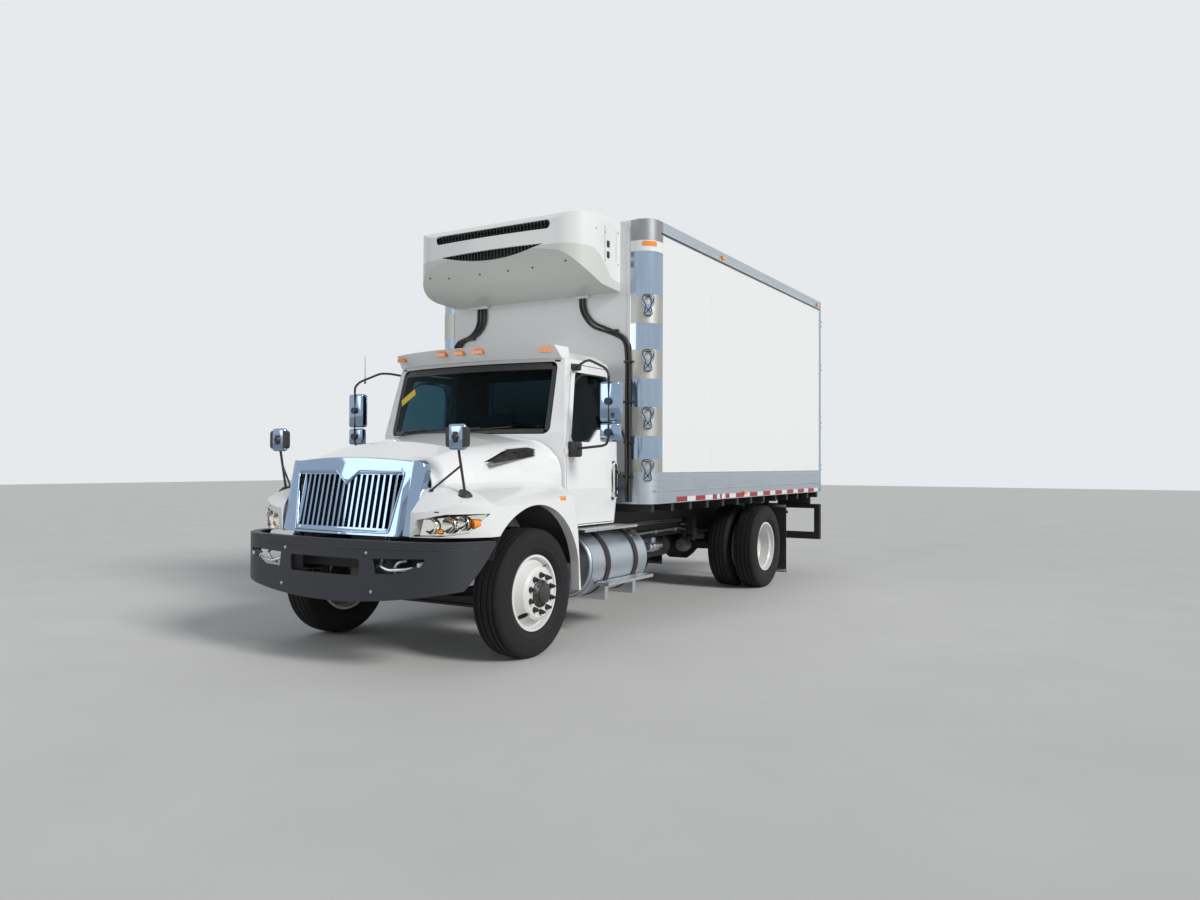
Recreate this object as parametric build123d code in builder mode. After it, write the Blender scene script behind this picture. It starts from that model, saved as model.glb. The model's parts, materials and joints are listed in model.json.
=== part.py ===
from build123d import *
import os
from math import asin, cos, degrees, radians, sin, sqrt, tan

# Refrigerated box truck, millimetres. It faces -Y, its left side is +X, the ground is Z = 0.
os.makedirs("parts", exist_ok=True)

# Layout along the truck
WHEELBASE = 4902
FRONT_AXLE_Y = -2882
REAR_AXLE_Y = FRONT_AXLE_Y + WHEELBASE
SEAM = 10          # open line between the hood and the cab
DOOR_GAP = 7       # line round a door
SEAT = 0.3         # clearance where one piece seats on another

# Wheels
TYRE_R = 505
TYRE_W = 276
BEAD_R = 287
BEAD_HALF = 92
FLANGE_R = 298
RIM_HALF = 110
FRONT_TRACK_X = 1022.5
DUAL_X = 915
DUAL_OFFSET = 168
DISC_THICK = 11
DISC_FLAT_R = 185
HAND_HOLE_R = 30
HAND_HOLE_CIRCLE_R = 226
DRUM_R = 208
DRUM_WIDTH = 118
SPINDLE_R = 38
HUB_R = 104
FRONT_HUB_REACH = 205
REAR_HUB_REACH = 118

# Steering
KINGPIN_X = 870
KINGPIN_R = 20
BEAM_EYE_R = 42
BEAM_EYE_H = 110
YOKE_H = 38
ARM_LENGTH = 180
TIE_ROD_R = 17
TIE_ROD_EYE_R = 27
TIE_ROD_Z = 372
BALL_PIN_R = 12

# Ladder frame
RAIL_X = 430
RAIL_THICK = 8
RAIL_FLANGE = 76
FRAME_TOP = 940
RAIL_DEPTH = 250
FRAME_BOTTOM = FRAME_TOP - RAIL_DEPTH
RAIL_REAR_GAP = 30
HORN_END_Y = FRONT_AXLE_Y - 880    # the rails are lower in front of this, under the tilting grille
HORN_DROP = 40
CROSSMEMBER_H = 170
CROSSMEMBER_W = 70
ENGINE_X = 330

# Springs
FRONT_SPRING_X = 482
REAR_SPRING_X = 520
SPRING_W = 76
SPRING_EYE_R = 30
FRONT_SPRING_HALF = 690
REAR_SPRING_HALF = 760
FRONT_PACK = 60
REAR_PACK = 90
REAR_SEAT_Z = TYRE_R + 76

# Front bumper: a bowed channel whose plan is one long arc between two corner arcs
BUMPER_FRONT_Y = FRONT_AXLE_Y - 1120
BUMPER_TOP = 955
BUMPER_CENTRE_BOTTOM = 505
BUMPER_END_BOTTOM = 640
BUMPER_SKIN = 8
BUMPER_DEPTH = 75
BOW_R = 4500
BOW_HALF = 800
BUMPER_CORNER_R = 500
BUMPER_CORNER_TURN = 75

# Cab
CAB_BOTTOM = 975
CAB_WALL = 45
CAB_BACK_Y = FRONT_AXLE_Y + 1530
CAB_FRONT_Y = FRONT_AXLE_Y + 380
CAB_CORNER_Y = FRONT_AXLE_Y + 575
CAB_FLOOR_TOP = 1090
CAB_WAIST = 1780
CAB_ROOF_LINE = 2430
GLASS_THICK = 6
GLASS_BOTTOM = 1768
GLASS_TOP = 2400
GLASS_LOW_X = 905
GLASS_HIGH_X = 882

# Cab doors
DOOR_FRONT_Y = FRONT_AXLE_Y + 603
DOOR_REAR_Y = FRONT_AXLE_Y + 1488
DOOR_BOTTOM = 992
DOOR_TOP = 2385
DOOR_HINGE_X = 1030
DOOR_HINGE_Y = FRONT_AXLE_Y + 588
DOOR_HINGE_HEIGHTS = (1260, 1620)
KNUCKLE_R = 9
KNUCKLE_HALF = 20
KNUCKLE_ROOM_R = 14
KNUCKLE_EAR = 14
CAB_PIN_R = 5
DOOR_TOP_R = 90
DOOR_LOW_R = 60

# Hood
HOOD_SKIN = 10
HOOD_BOTTOM = 980
FENDER_X = 1188
LIP_WIDTH = 80
GRILLE_TILT_RUN = 86
NOSE_Y = FRONT_AXLE_Y - 962
NOSE_BOW_R = 6000
NOSE_BOW_HALF = 615
NOSE_CORNER_R = 120
NOSE_CORNER_TURN = 55
NOSE_WALL_X = 706
HOOD_HINGE_Y = FRONT_AXLE_Y - 925
HOOD_HINGE_Z = 955
HINGE_R = 20
HINGE_PIN_R = 9

# Insulated body
BODY_FRONT_Y = FRONT_AXLE_Y + 1640
BODY_LENGTH = 5180
BODY_REAR_Y = BODY_FRONT_Y + BODY_LENGTH
BODY_X = 1295
BODY_BOTTOM = 1139
BODY_TOP = 3825
CORNER_R = 170
TRIM = 4
WALL = 75
FLOOR_THICK = 126
ROOF_THICK = 85
REAR_FRAME_DEPTH = 80
LOWER_RAIL_H = 300
UPPER_RAIL_H = 120
CAP_H = 185
CARGO_DOOR_THICK = 70
CARGO_DOOR_MEET = 6
DOOR_PIN_STANDOFF = 50
DOOR_PIN_X = BODY_X - 14
DOOR_PIN_R = 8
SILL_X = 391
SILL_W = 78
BEARER_H = 79

# Refrigeration unit
UNIT_X = 1000
UNIT_MID_X = -45
UNIT_FRONT_Y = FRONT_AXLE_Y + 905
UNIT_TOP = 3812
UNIT_BOTTOM = 3150

# Side gear
TOW_EYE_X = 488
TOW_EYE_Z = 775
TOW_EYE_R = 20
TOW_EYE_THICK = 25
TANK_R = 290
TANK_Z = 625
TANK_X = 828
TANK_FRONT_Y = FRONT_AXLE_Y + 877
TANK_LENGTH = 1034
STRAP_THICK = 8
STRAP_WIDTH = 70
STEP_LOW_Z = 448


def save(part, name):
    part.label = name
    export_step(part, "parts/" + name + ".step")


def block(x0, x1, y0, y1, z0, z1, mode=Mode.ADD):
    """Rectangular block between two corners."""
    with Locations(((x0 + x1) / 2, (y0 + y1) / 2, (z0 + z1) / 2)):
        Box(x1 - x0, y1 - y0, z1 - z0, mode=mode)


def mirrored(part):
    return part.mirror(Plane.YZ)


def pair(part):
    """The piece and its mirror image, as the two solids of one node."""
    return Compound(children=[part, mirrored(part)])


def across(y):
    """Plane across the truck at station y: its X is X, its Y is Z, it looks forward."""
    return Plane.XZ.offset(-y)


def level(z):
    return Plane.XY.offset(z)


def along(x):
    """Plane along the truck at X: its X is Y, its Y is Z."""
    return Plane.YZ.offset(x)


def turned(points, y_axle, axle_z=TYRE_R):
    """Ring turned about the axle line from (x, radius) points."""
    with BuildPart() as ring:
        with BuildSketch(across(y_axle)):
            with BuildLine():
                Polyline(*[(x, axle_z + r) for x, r in points], close=True)
            make_face()
        revolve(axis=Axis((0, y_axle, axle_z), (1, 0, 0)))
    return ring.part


def rod(start, end, radius):
    """Round bar between two points."""
    line = Vector(end) - Vector(start)
    with BuildPart() as bar:
        with BuildSketch(Plane(origin=start, z_dir=line)):
            Circle(radius)
        extrude(amount=line.length)
    return bar.part


def tube_path(points):
    """Straight runs joined by tangent arcs, each as large as its two runs allow."""
    radii = []
    for before, corner, after in zip(points, points[1:], points[2:]):
        run_in = Vector(corner) - Vector(before)
        run_out = Vector(after) - Vector(corner)
        half_turn = radians(run_in.get_angle(run_out) / 2)
        radii.append(0.45 * min(run_in.length, run_out.length) / tan(half_turn))
    with BuildLine() as path:
        FilletPolyline(*points, radius=radii)
    return path.line, radii


def tube(points, diameter):
    path, radii = tube_path(points)
    with BuildPart() as hose:
        with BuildLine():
            add(path)
        start = Vector(points[0])
        with BuildSketch(Plane(origin=start, z_dir=Vector(points[1]) - start)):
            Circle(diameter / 2)
        sweep()
    print("bend radii", [round(r) for r in radii], "of", diameter, "mm tube")
    return hose.part


# Tyres: the profile is two sidewall arcs and a crowned tread
def tyre(x_middle, y_axle):
    shoulder_half = TYRE_W / 2 - 26
    shoulder_r = TYRE_R - 18
    bead_top = BEAD_R + 18
    with BuildPart() as ring:
        with BuildSketch(across(y_axle)):
            with BuildLine():
                inner_bead = (x_middle - BEAD_HALF, TYRE_R + BEAD_R)
                outer_bead = (x_middle + BEAD_HALF, TYRE_R + BEAD_R)
                inner_heel = (x_middle - BEAD_HALF - 4, TYRE_R + bead_top)
                outer_heel = (x_middle + BEAD_HALF + 4, TYRE_R + bead_top)
                inner_shoulder = (x_middle - shoulder_half, TYRE_R + shoulder_r)
                outer_shoulder = (x_middle + shoulder_half, TYRE_R + shoulder_r)
                Line(inner_bead, inner_heel)
                ThreePointArc(inner_heel, (x_middle - TYRE_W / 2, TYRE_R + 400), inner_shoulder)
                ThreePointArc(inner_shoulder, (x_middle, 2 * TYRE_R), outer_shoulder)
                ThreePointArc(outer_shoulder, (x_middle + TYRE_W / 2, TYRE_R + 400), outer_heel)
                Line(outer_heel, outer_bead)
                Line(outer_bead, inner_bead)
            make_face()
        revolve(axis=Axis((0, y_axle, TYRE_R), (1, 0, 0)))
    return ring.part


# Rims: (distance from the rim's middle plane, radius); the disc bulges towards `side`
def rim(x_middle, y_axle, side, mount_offset):
    barrel_r = BEAD_R - SEAT
    flange_half = RIM_HALF - 10
    barrel = turned(
        [(x_middle + u, r) for u, r in (
            (-RIM_HALF, FLANGE_R), (-flange_half, FLANGE_R), (-flange_half, barrel_r),
            (flange_half, barrel_r), (flange_half, FLANGE_R), (RIM_HALF, FLANGE_R),
            (RIM_HALF, 279), (70, 275), (55, 262), (-55, 262), (-70, 275), (-RIM_HALF, 279),
        )],
        y_axle,
    )
    face = mount_offset
    disc = turned(
        [(x_middle + side * u, r) for u, r in (
            (face - 118, 266), (face - 118 + 14, 266), (face - 62, 238), (face - 14, 208),
            (face, DISC_FLAT_R), (face, HUB_R - 3), (face - DISC_THICK, HUB_R - 3),
            (face - DISC_THICK, DISC_FLAT_R - 4), (face - 24, 200), (face - 74, 230),
        )],
        y_axle,
    )
    with BuildPart() as wheel:
        add(barrel)
        add(disc)
        for turn in (225, 45):
            hole_y = y_axle + HAND_HOLE_CIRCLE_R * cos(radians(turn))
            hole_z = TYRE_R + HAND_HOLE_CIRCLE_R * sin(radians(turn))
            with BuildSketch(Plane(origin=(x_middle, hole_y, hole_z), z_dir=(side, 0, 0))):
                Circle(HAND_HOLE_R)
            extrude(amount=mount_offset + 10, mode=Mode.SUBTRACT)
    return wheel.part


# Front wheel: rim with its hub and brake drum, which turn together on the spindle
def front_rim(side):
    x = side * FRONT_TRACK_X
    inner = side * (KINGPIN_X + BEAM_EYE_R + 12)
    hub_outer = x + side * FRONT_HUB_REACH
    bore_r = SPINDLE_R + SEAT
    hub = turned(
        [(inner, DRUM_R), (inner + side * DRUM_WIDTH, DRUM_R),
         (inner + side * DRUM_WIDTH, HUB_R), (x + side * 170, HUB_R), (hub_outer - side * 12, 72),
         (hub_outer, 60), (hub_outer, 0.0), (hub_outer - side * 26, 0.0),
         (hub_outer - side * 26, bore_r), (inner + side * 60, bore_r),
         (inner + side * 60, DRUM_R - 14), (inner, DRUM_R - 14)],
        FRONT_AXLE_Y,
    )
    with BuildPart() as wheel:
        add(rim(x, FRONT_AXLE_Y, side, 163))
        add(hub)
    return wheel.part


# Rear wheels: two rims back to back on one hub and drum
def rear_rims(side):
    outer = rim(side * (DUAL_X + DUAL_OFFSET), REAR_AXLE_Y, -side, DUAL_OFFSET)
    inner = rim(side * (DUAL_X - DUAL_OFFSET), REAR_AXLE_Y, side, DUAL_OFFSET)
    drum_inner = side * 662
    bore_r = SPINDLE_R + 7 + SEAT
    hub = turned(
        [(drum_inner, DRUM_R), (side * 800, DRUM_R), (side * 800, 150), (side * (DUAL_X - 11), 150),
         (side * (DUAL_X - 11), HUB_R), (side * (DUAL_X + 11), HUB_R),
         (side * (DUAL_X + 100), HUB_R), (side * (DUAL_X + REAR_HUB_REACH), 84),
         (side * (DUAL_X + REAR_HUB_REACH), 0.0), (side * (DUAL_X + 98), 0.0),
         (side * (DUAL_X + 98), bore_r), (side * 720, bore_r), (side * 720, DRUM_R - 14),
         (drum_inner, DRUM_R - 14)],
        REAR_AXLE_Y,
    )
    with BuildPart() as wheels:
        add(outer)
        add(inner)
        add(hub)
    return wheels.part


for side, name in ((1, "left"), (-1, "right")):
    save(tyre(side * FRONT_TRACK_X, FRONT_AXLE_Y), "front_tyre_" + name)
    save(front_rim(side), "front_rim_" + name)
    save(rear_rims(side), "rear_rims_" + name)
    dual = [tyre(side * (DUAL_X + DUAL_OFFSET), REAR_AXLE_Y),
            tyre(side * (DUAL_X - DUAL_OFFSET), REAR_AXLE_Y)]
    save(Compound(children=dual), "rear_tyres_" + name)


# Front axle: a forged I-beam with a dropped middle and an upright eye at each end
BEAM_TOP = TYRE_R - 62
with BuildPart() as front_axle:
    with BuildSketch(across(FRONT_AXLE_Y)):
        with BuildLine():
            Polyline(
                (-KINGPIN_X, TYRE_R + 40), (-KINGPIN_X, TYRE_R - 40), (-800, TYRE_R - 40),
                (-735, BEAM_TOP - 95), (735, BEAM_TOP - 95), (800, TYRE_R - 40),
                (KINGPIN_X, TYRE_R - 40), (KINGPIN_X, TYRE_R + 40), (820, TYRE_R + 40),
                (700, BEAM_TOP), (-700, BEAM_TOP), (-820, TYRE_R + 40), close=True,
            )
        make_face()
    extrude(amount=45, both=True)
    with BuildSketch(across(FRONT_AXLE_Y - 18)):
        with Locations((0, BEAM_TOP - 47)):
            Rectangle(1340, 58)
    extrude(amount=40, mode=Mode.SUBTRACT)
    with BuildSketch(across(FRONT_AXLE_Y + 18)):
        with Locations((0, BEAM_TOP - 47)):
            Rectangle(1340, 58)
    extrude(amount=-40, mode=Mode.SUBTRACT)
    with Locations((KINGPIN_X, FRONT_AXLE_Y, TYRE_R), (-KINGPIN_X, FRONT_AXLE_Y, TYRE_R)):
        Cylinder(BEAM_EYE_R, BEAM_EYE_H)
        Cylinder(KINGPIN_R, BEAM_EYE_H + 2 * YOKE_H + 12)
save(front_axle.part, "front_axle")


# Steering knuckle: a yoke round the beam's eye, the spindle, the backing plate and the arm
def knuckle():
    yoke_low = TYRE_R - BEAM_EYE_H / 2 - 3 - YOKE_H
    yoke_high = TYRE_R + BEAM_EYE_H / 2 + 3
    plate_x = KINGPIN_X + BEAM_EYE_R + 3
    with BuildPart() as body:
        for z in (yoke_low, yoke_high):
            with BuildSketch(level(z)):
                with Locations((KINGPIN_X, FRONT_AXLE_Y)):
                    Circle(BEAM_EYE_R)
                with Locations(((KINGPIN_X + plate_x) / 2 + 2, FRONT_AXLE_Y)):
                    Rectangle(plate_x - KINGPIN_X + 4, 2 * BEAM_EYE_R)
            extrude(amount=YOKE_H)
        with BuildSketch(along(plate_x)):
            with Locations((FRONT_AXLE_Y, TYRE_R)):
                Circle(DRUM_R - 22)
        extrude(amount=6)
        with BuildSketch(along(plate_x)):
            with Locations((FRONT_AXLE_Y, TYRE_R)):
                Circle(SPINDLE_R)
        extrude(amount=FRONT_TRACK_X + FRONT_HUB_REACH - 40 - plate_x)
        with BuildSketch(level(yoke_low)):
            with Locations((KINGPIN_X, FRONT_AXLE_Y + ARM_LENGTH / 2)):
                Rectangle(46, ARM_LENGTH)
            with Locations((KINGPIN_X, FRONT_AXLE_Y + ARM_LENGTH)):
                Circle(26)
        extrude(amount=26)
        with Locations((KINGPIN_X, FRONT_AXLE_Y, TYRE_R)):
            Cylinder(KINGPIN_R + SEAT, 400, mode=Mode.SUBTRACT)
        pin_low = TIE_ROD_Z - 30
        with BuildSketch(level(pin_low)):
            with Locations((KINGPIN_X, FRONT_AXLE_Y + ARM_LENGTH)):
                Circle(BALL_PIN_R)
        extrude(amount=yoke_low - pin_low + 1)
    return body.part


save(knuckle(), "knuckle_left")
save(mirrored(knuckle()), "knuckle_right")

# Tie rod: it swings on the left arm's pin and stays square to the truck
with BuildPart() as tie_rod:
    with Locations((0, FRONT_AXLE_Y + ARM_LENGTH, TIE_ROD_Z)):
        Cylinder(TIE_ROD_R, 2 * KINGPIN_X - 20, rotation=(0, 90, 0))
    with Locations((KINGPIN_X, FRONT_AXLE_Y + ARM_LENGTH, TIE_ROD_Z),
                   (-KINGPIN_X, FRONT_AXLE_Y + ARM_LENGTH, TIE_ROD_Z)):
        Cylinder(TIE_ROD_EYE_R, 40)
        Cylinder(BALL_PIN_R + SEAT, 60, mode=Mode.SUBTRACT)
save(tie_rod.part, "tie_rod")

# Rear axle: a round housing with the differential bowl, tapering to the spindles
rear_axle_profile = [
    (-1000, 0), (-1000, SPINDLE_R + 7), (-700, SPINDLE_R + 7), (-640, 66), (-260, 72),
    (-185, 150), (-110, 205), (110, 205), (185, 150), (260, 72), (640, 66), (700, SPINDLE_R + 7),
    (1000, SPINDLE_R + 7), (1000, 0),
]
with BuildPart() as rear_axle:
    add(turned(rear_axle_profile, REAR_AXLE_Y))
    with BuildSketch(across(REAR_AXLE_Y - 120)):
        with Locations((0, TYRE_R)):
            Circle(110)
    with BuildSketch(across(REAR_AXLE_Y - 330)):
        with Locations((0, TYRE_R + 20)):
            Circle(70)
    loft()
    for x in (REAR_SPRING_X, -REAR_SPRING_X):
        block(x - 42, x + 42, REAR_AXLE_Y - 60, REAR_AXLE_Y + 60, TYRE_R + 20, REAR_SEAT_Z - SEAT)
save(rear_axle.part, "rear_axle")


# Ladder frame: two channel rails that open inward, joined by channel crossmembers
RAIL_FRONT_Y = BUMPER_FRONT_Y + BOW_R - sqrt((BOW_R - BUMPER_SKIN) ** 2 - RAIL_X ** 2) + SEAT
RAIL_REAR_Y = BODY_REAR_Y - RAIL_REAR_GAP


def rail():
    with BuildPart() as channel:
        with BuildSketch(across(RAIL_FRONT_Y)):
            with BuildLine():
                Polyline(
                    (RAIL_X, FRAME_BOTTOM), (RAIL_X, FRAME_TOP), (RAIL_X - RAIL_FLANGE, FRAME_TOP),
                    (RAIL_X - RAIL_FLANGE, FRAME_TOP - RAIL_THICK),
                    (RAIL_X - RAIL_THICK, FRAME_TOP - RAIL_THICK),
                    (RAIL_X - RAIL_THICK, FRAME_BOTTOM + RAIL_THICK),
                    (RAIL_X - RAIL_FLANGE, FRAME_BOTTOM + RAIL_THICK),
                    (RAIL_X - RAIL_FLANGE, FRAME_BOTTOM), close=True,
                )
            make_face()
        extrude(amount=-(RAIL_REAR_Y - RAIL_FRONT_Y))
        block(RAIL_X - RAIL_FLANGE - 1, RAIL_X + 1, RAIL_FRONT_Y - 1, HORN_END_Y,
              FRAME_TOP - HORN_DROP, FRAME_TOP + 1, mode=Mode.SUBTRACT)
    return channel.part


save(pair(rail()), "frame_rails")

crossmember_stations = [
    RAIL_FRONT_Y + 160, FRONT_AXLE_Y + 1180, FRONT_AXLE_Y + 2100, FRONT_AXLE_Y + 3050,
    REAR_AXLE_Y - 760, REAR_AXLE_Y + 330, REAR_AXLE_Y + 1050, RAIL_REAR_Y - 90,
]
crossmembers = []
for station in crossmember_stations:
    with BuildPart() as crossmember:
        web_x = RAIL_X - RAIL_THICK
        middle = (FRAME_TOP + FRAME_BOTTOM) / 2
        half = CROSSMEMBER_H / 2
        block(-web_x, web_x, station, station + CROSSMEMBER_W, middle - half, middle + half)
        block(-web_x, web_x, station + RAIL_THICK, station + CROSSMEMBER_W,
              middle - half + RAIL_THICK, middle + half - RAIL_THICK, mode=Mode.SUBTRACT)
    crossmembers.append(crossmember.part)
for y in (FRONT_AXLE_Y - 420, FRONT_AXLE_Y + 200):
    with BuildPart() as engine_mount:
        block(ENGINE_X + SEAT, RAIL_X - RAIL_THICK, y, y + 110, FRAME_BOTTOM + 60, FRAME_TOP - 60)
    crossmembers += [engine_mount.part, mirrored(engine_mount.part)]
save(Compound(children=crossmembers), "crossmembers")

# Cab mounts on the rails and the hood's hinge brackets outside them
cab_mounts = []
for y in (FRONT_AXLE_Y + 680, CAB_BACK_Y - 90):
    with BuildPart() as cab_mount:
        block(RAIL_X - RAIL_FLANGE + 6, RAIL_X - 6, y - 40, y + 40, FRAME_TOP, CAB_BOTTOM - SEAT)
    cab_mounts += [cab_mount.part, mirrored(cab_mount.part)]
HINGE_BASE_X = RAIL_X + 10
HINGE_EAR = 16
HINGE_LUG_X = HINGE_BASE_X + HINGE_EAR + 6
HINGE_LUG_W = 18
HINGE_END_X = HINGE_LUG_X + HINGE_LUG_W + 6 + HINGE_EAR
with BuildPart() as hood_hinge:
    block(RAIL_X, HINGE_END_X, HOOD_HINGE_Y - HINGE_R, HOOD_HINGE_Y + HINGE_R,
          FRAME_TOP - 120, FRAME_TOP - 55)
    for x in (HINGE_BASE_X, HINGE_END_X - HINGE_EAR):
        block(x, x + HINGE_EAR, HOOD_HINGE_Y - HINGE_R, HOOD_HINGE_Y + HINGE_R, FRAME_TOP - 60, HOOD_HINGE_Z)
        with BuildSketch(along(x)):
            with Locations((HOOD_HINGE_Y, HOOD_HINGE_Z)):
                Circle(HINGE_R)
        extrude(amount=HINGE_EAR)
    with BuildSketch(along(HINGE_BASE_X)):
        with Locations((HOOD_HINGE_Y, HOOD_HINGE_Z)):
            Circle(HINGE_PIN_R)
    extrude(amount=HINGE_END_X - HINGE_BASE_X)
cab_mounts += [hood_hinge.part, mirrored(hood_hinge.part)]


# Leaf springs: bowed packs, longest leaf rolled into an eye at each end
def leaf_spring(x, y_axle, half, seat_z, pack, eye_z):
    with BuildPart() as spring:
        with BuildSketch(along(x - SPRING_W / 2)):
            with BuildLine():
                top_mid = (y_axle, seat_z + pack)
                low_mid = (y_axle, seat_z)
                front_top = (y_axle - half, eye_z + 8)
                rear_top = (y_axle + half, eye_z + 8)
                front_low = (y_axle - half, eye_z - 8)
                rear_low = (y_axle + half, eye_z - 8)
                ThreePointArc(front_top, top_mid, rear_top)
                Line(rear_top, rear_low)
                ThreePointArc(rear_low, low_mid, front_low)
                Line(front_low, front_top)
            make_face()
            with Locations((y_axle - half, eye_z), (y_axle + half, eye_z)):
                Circle(SPRING_EYE_R)
        extrude(amount=SPRING_W)
        with BuildSketch(along(x - SPRING_W / 2)):
            with Locations((y_axle - half, eye_z), (y_axle + half, eye_z)):
                Circle(14)
        extrude(amount=SPRING_W, mode=Mode.SUBTRACT)
    return spring.part


FRONT_EYE_Z = FRAME_BOTTOM - 62
REAR_EYE_Z = FRAME_BOTTOM - 50
springs = []
for side in (1, -1):
    springs.append(leaf_spring(side * FRONT_SPRING_X, FRONT_AXLE_Y, FRONT_SPRING_HALF,
                               BEAM_TOP + SEAT, FRONT_PACK, FRONT_EYE_Z))
    springs.append(leaf_spring(side * REAR_SPRING_X, REAR_AXLE_Y, REAR_SPRING_HALF,
                               REAR_SEAT_Z, REAR_PACK, REAR_EYE_Z))
save(Compound(children=springs), "leaf_springs")

# Spring hangers: brackets on the rails' webs that reach out over each eye and hold its pin
hangers = []
for x, y_axle, half, eye_z in (
    (FRONT_SPRING_X, FRONT_AXLE_Y, FRONT_SPRING_HALF, FRONT_EYE_Z),
    (REAR_SPRING_X, REAR_AXLE_Y, REAR_SPRING_HALF, REAR_EYE_Z),
):
    for end in (-1, 1):
        y_eye = y_axle + end * half
        with BuildPart() as hanger:
            block(RAIL_X, x + SPRING_W / 2 + 14, y_eye - 45, y_eye + 45,
                  eye_z + SPRING_EYE_R + 6, FRAME_TOP - 70)
            block(x + SPRING_W / 2 + 3, x + SPRING_W / 2 + 14, y_eye - 45, y_eye + 45,
                  eye_z - 34, FRAME_TOP - 70)
            block(RAIL_X, x - SPRING_W / 2 - 3, y_eye - 45, y_eye + 45,
                  eye_z - 34, FRAME_TOP - 70)
            with BuildSketch(along(RAIL_X)):
                with Locations((y_eye, eye_z)):
                    Circle(14 - SEAT)
            extrude(amount=x + SPRING_W / 2 + 14 - RAIL_X)
        hangers.append(hanger.part)
        hangers.append(mirrored(hanger.part))


# Front bumper
def bowed_line(front_y, bow_r, bow_half, corner_r, turn, inset):
    """One long arc between two corner arcs, moved inward by inset: three edges and its end points."""
    bow_y = front_y + bow_r
    lean = degrees(asin(bow_half / bow_r))
    join = Vector(bow_half, bow_y - bow_r * cos(radians(lean)))
    corner = join + Vector(-sin(radians(lean)), cos(radians(lean))) * corner_r
    CenterArc((0, bow_y), bow_r - inset, 270 - lean, 2 * lean)
    CenterArc((corner.X, corner.Y), corner_r - inset, 270 + lean, turn)
    CenterArc((-corner.X, corner.Y), corner_r - inset, 270 - lean, -turn)
    reach = corner_r - inset
    end = radians(270 + lean + turn)
    return Vector(corner.X + reach * cos(end), corner.Y + reach * sin(end))


def bowed_band(front_y, bow_r, bow_half, corner_r, turn, outer, inner, z0, z1):
    with BuildPart() as band:
        with BuildSketch(level(z0)):
            with BuildLine():
                a = bowed_line(front_y, bow_r, bow_half, corner_r, turn, outer)
                b = bowed_line(front_y, bow_r, bow_half, corner_r, turn, inner)
                Line((a.X, a.Y), (b.X, b.Y))
                Line((-a.X, a.Y), (-b.X, b.Y))
            make_face()
        extrude(amount=z1 - z0)
    return band.part


bumper_plan = (BUMPER_FRONT_Y, BOW_R, BOW_HALF, BUMPER_CORNER_R, BUMPER_CORNER_TURN)
with BuildPart() as bumper:
    add(bowed_band(*bumper_plan, 0, BUMPER_DEPTH, BUMPER_CENTRE_BOTTOM, BUMPER_TOP))
    add(bowed_band(*bumper_plan, BUMPER_SKIN, BUMPER_DEPTH + 5, BUMPER_CENTRE_BOTTOM - 5,
                   BUMPER_TOP - BUMPER_SKIN), mode=Mode.SUBTRACT)
    with BuildSketch(across(BUMPER_FRONT_Y - 10)):
        with BuildLine():
            low_left = (-1250, BUMPER_END_BOTTOM)
            low_right = (1250, BUMPER_END_BOTTOM)
            ThreePointArc(low_left, (0, BUMPER_CENTRE_BOTTOM + 1), low_right)
            Polyline(low_right, (1250, 400), (-1250, 400), low_left)
        make_face()
    extrude(amount=-700, mode=Mode.SUBTRACT)
    with BuildSketch(along(-1300)):
        with BuildLine():
            Polyline((FRONT_AXLE_Y - 575, BUMPER_TOP + 5), (FRONT_AXLE_Y - 940, BUMPER_CENTRE_BOTTOM - 10),
                     (FRONT_AXLE_Y - 400, BUMPER_CENTRE_BOTTOM - 10), (FRONT_AXLE_Y - 400, BUMPER_TOP + 5),
                     close=True)
        make_face()
    extrude(amount=2600, mode=Mode.SUBTRACT)
    with BuildSketch(across(BUMPER_FRONT_Y - 10)):
        with Locations((0, 762)):
            RectangleRounded(720, 122, 22)
        for side in (1, -1):
            with BuildLine():
                Polyline((side * 480, 830), (side * 900, 842), (side * 905, 815),
                         (side * 690, 728), (side * 500, 722), close=True)
            make_face()
    extrude(amount=-400, mode=Mode.SUBTRACT)
save(bumper.part, "front_bumper")


# Engine, its radiator and the drive shaft
with BuildPart() as engine:
    block(-ENGINE_X, ENGINE_X, FRONT_AXLE_Y - 520, CAB_FRONT_Y - 15, FRAME_BOTTOM - 110, 1440)
with BuildPart() as radiator:
    block(-400, 400, FRONT_AXLE_Y - 660, FRONT_AXLE_Y - 560, FRAME_TOP + SEAT, 1400)
save(Compound(children=[engine.part, radiator.part]), "engine")

shaft_front = Vector(0, FRONT_AXLE_Y + 1080, 640)
shaft_rear = Vector(0, REAR_AXLE_Y - 330 - SEAT, TYRE_R + 20)
with BuildPart() as drive_shaft:
    add(rod(shaft_front, shaft_rear - Vector(0, 40, 0), 50))
    block(-70, 70, shaft_rear.Y - 60, shaft_rear.Y, shaft_rear.Z - 70, shaft_rear.Z + 70)
    with BuildSketch(across(shaft_front.Y + 40)):
        with Locations((0, 660)):
            Rectangle(300, 300)
    with BuildSketch(across(CAB_FRONT_Y - 15 + SEAT)):
        with Locations((0, 735)):
            Rectangle(480, 440)
    loft()
save(drive_shaft.part, "drive_shaft")


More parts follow.
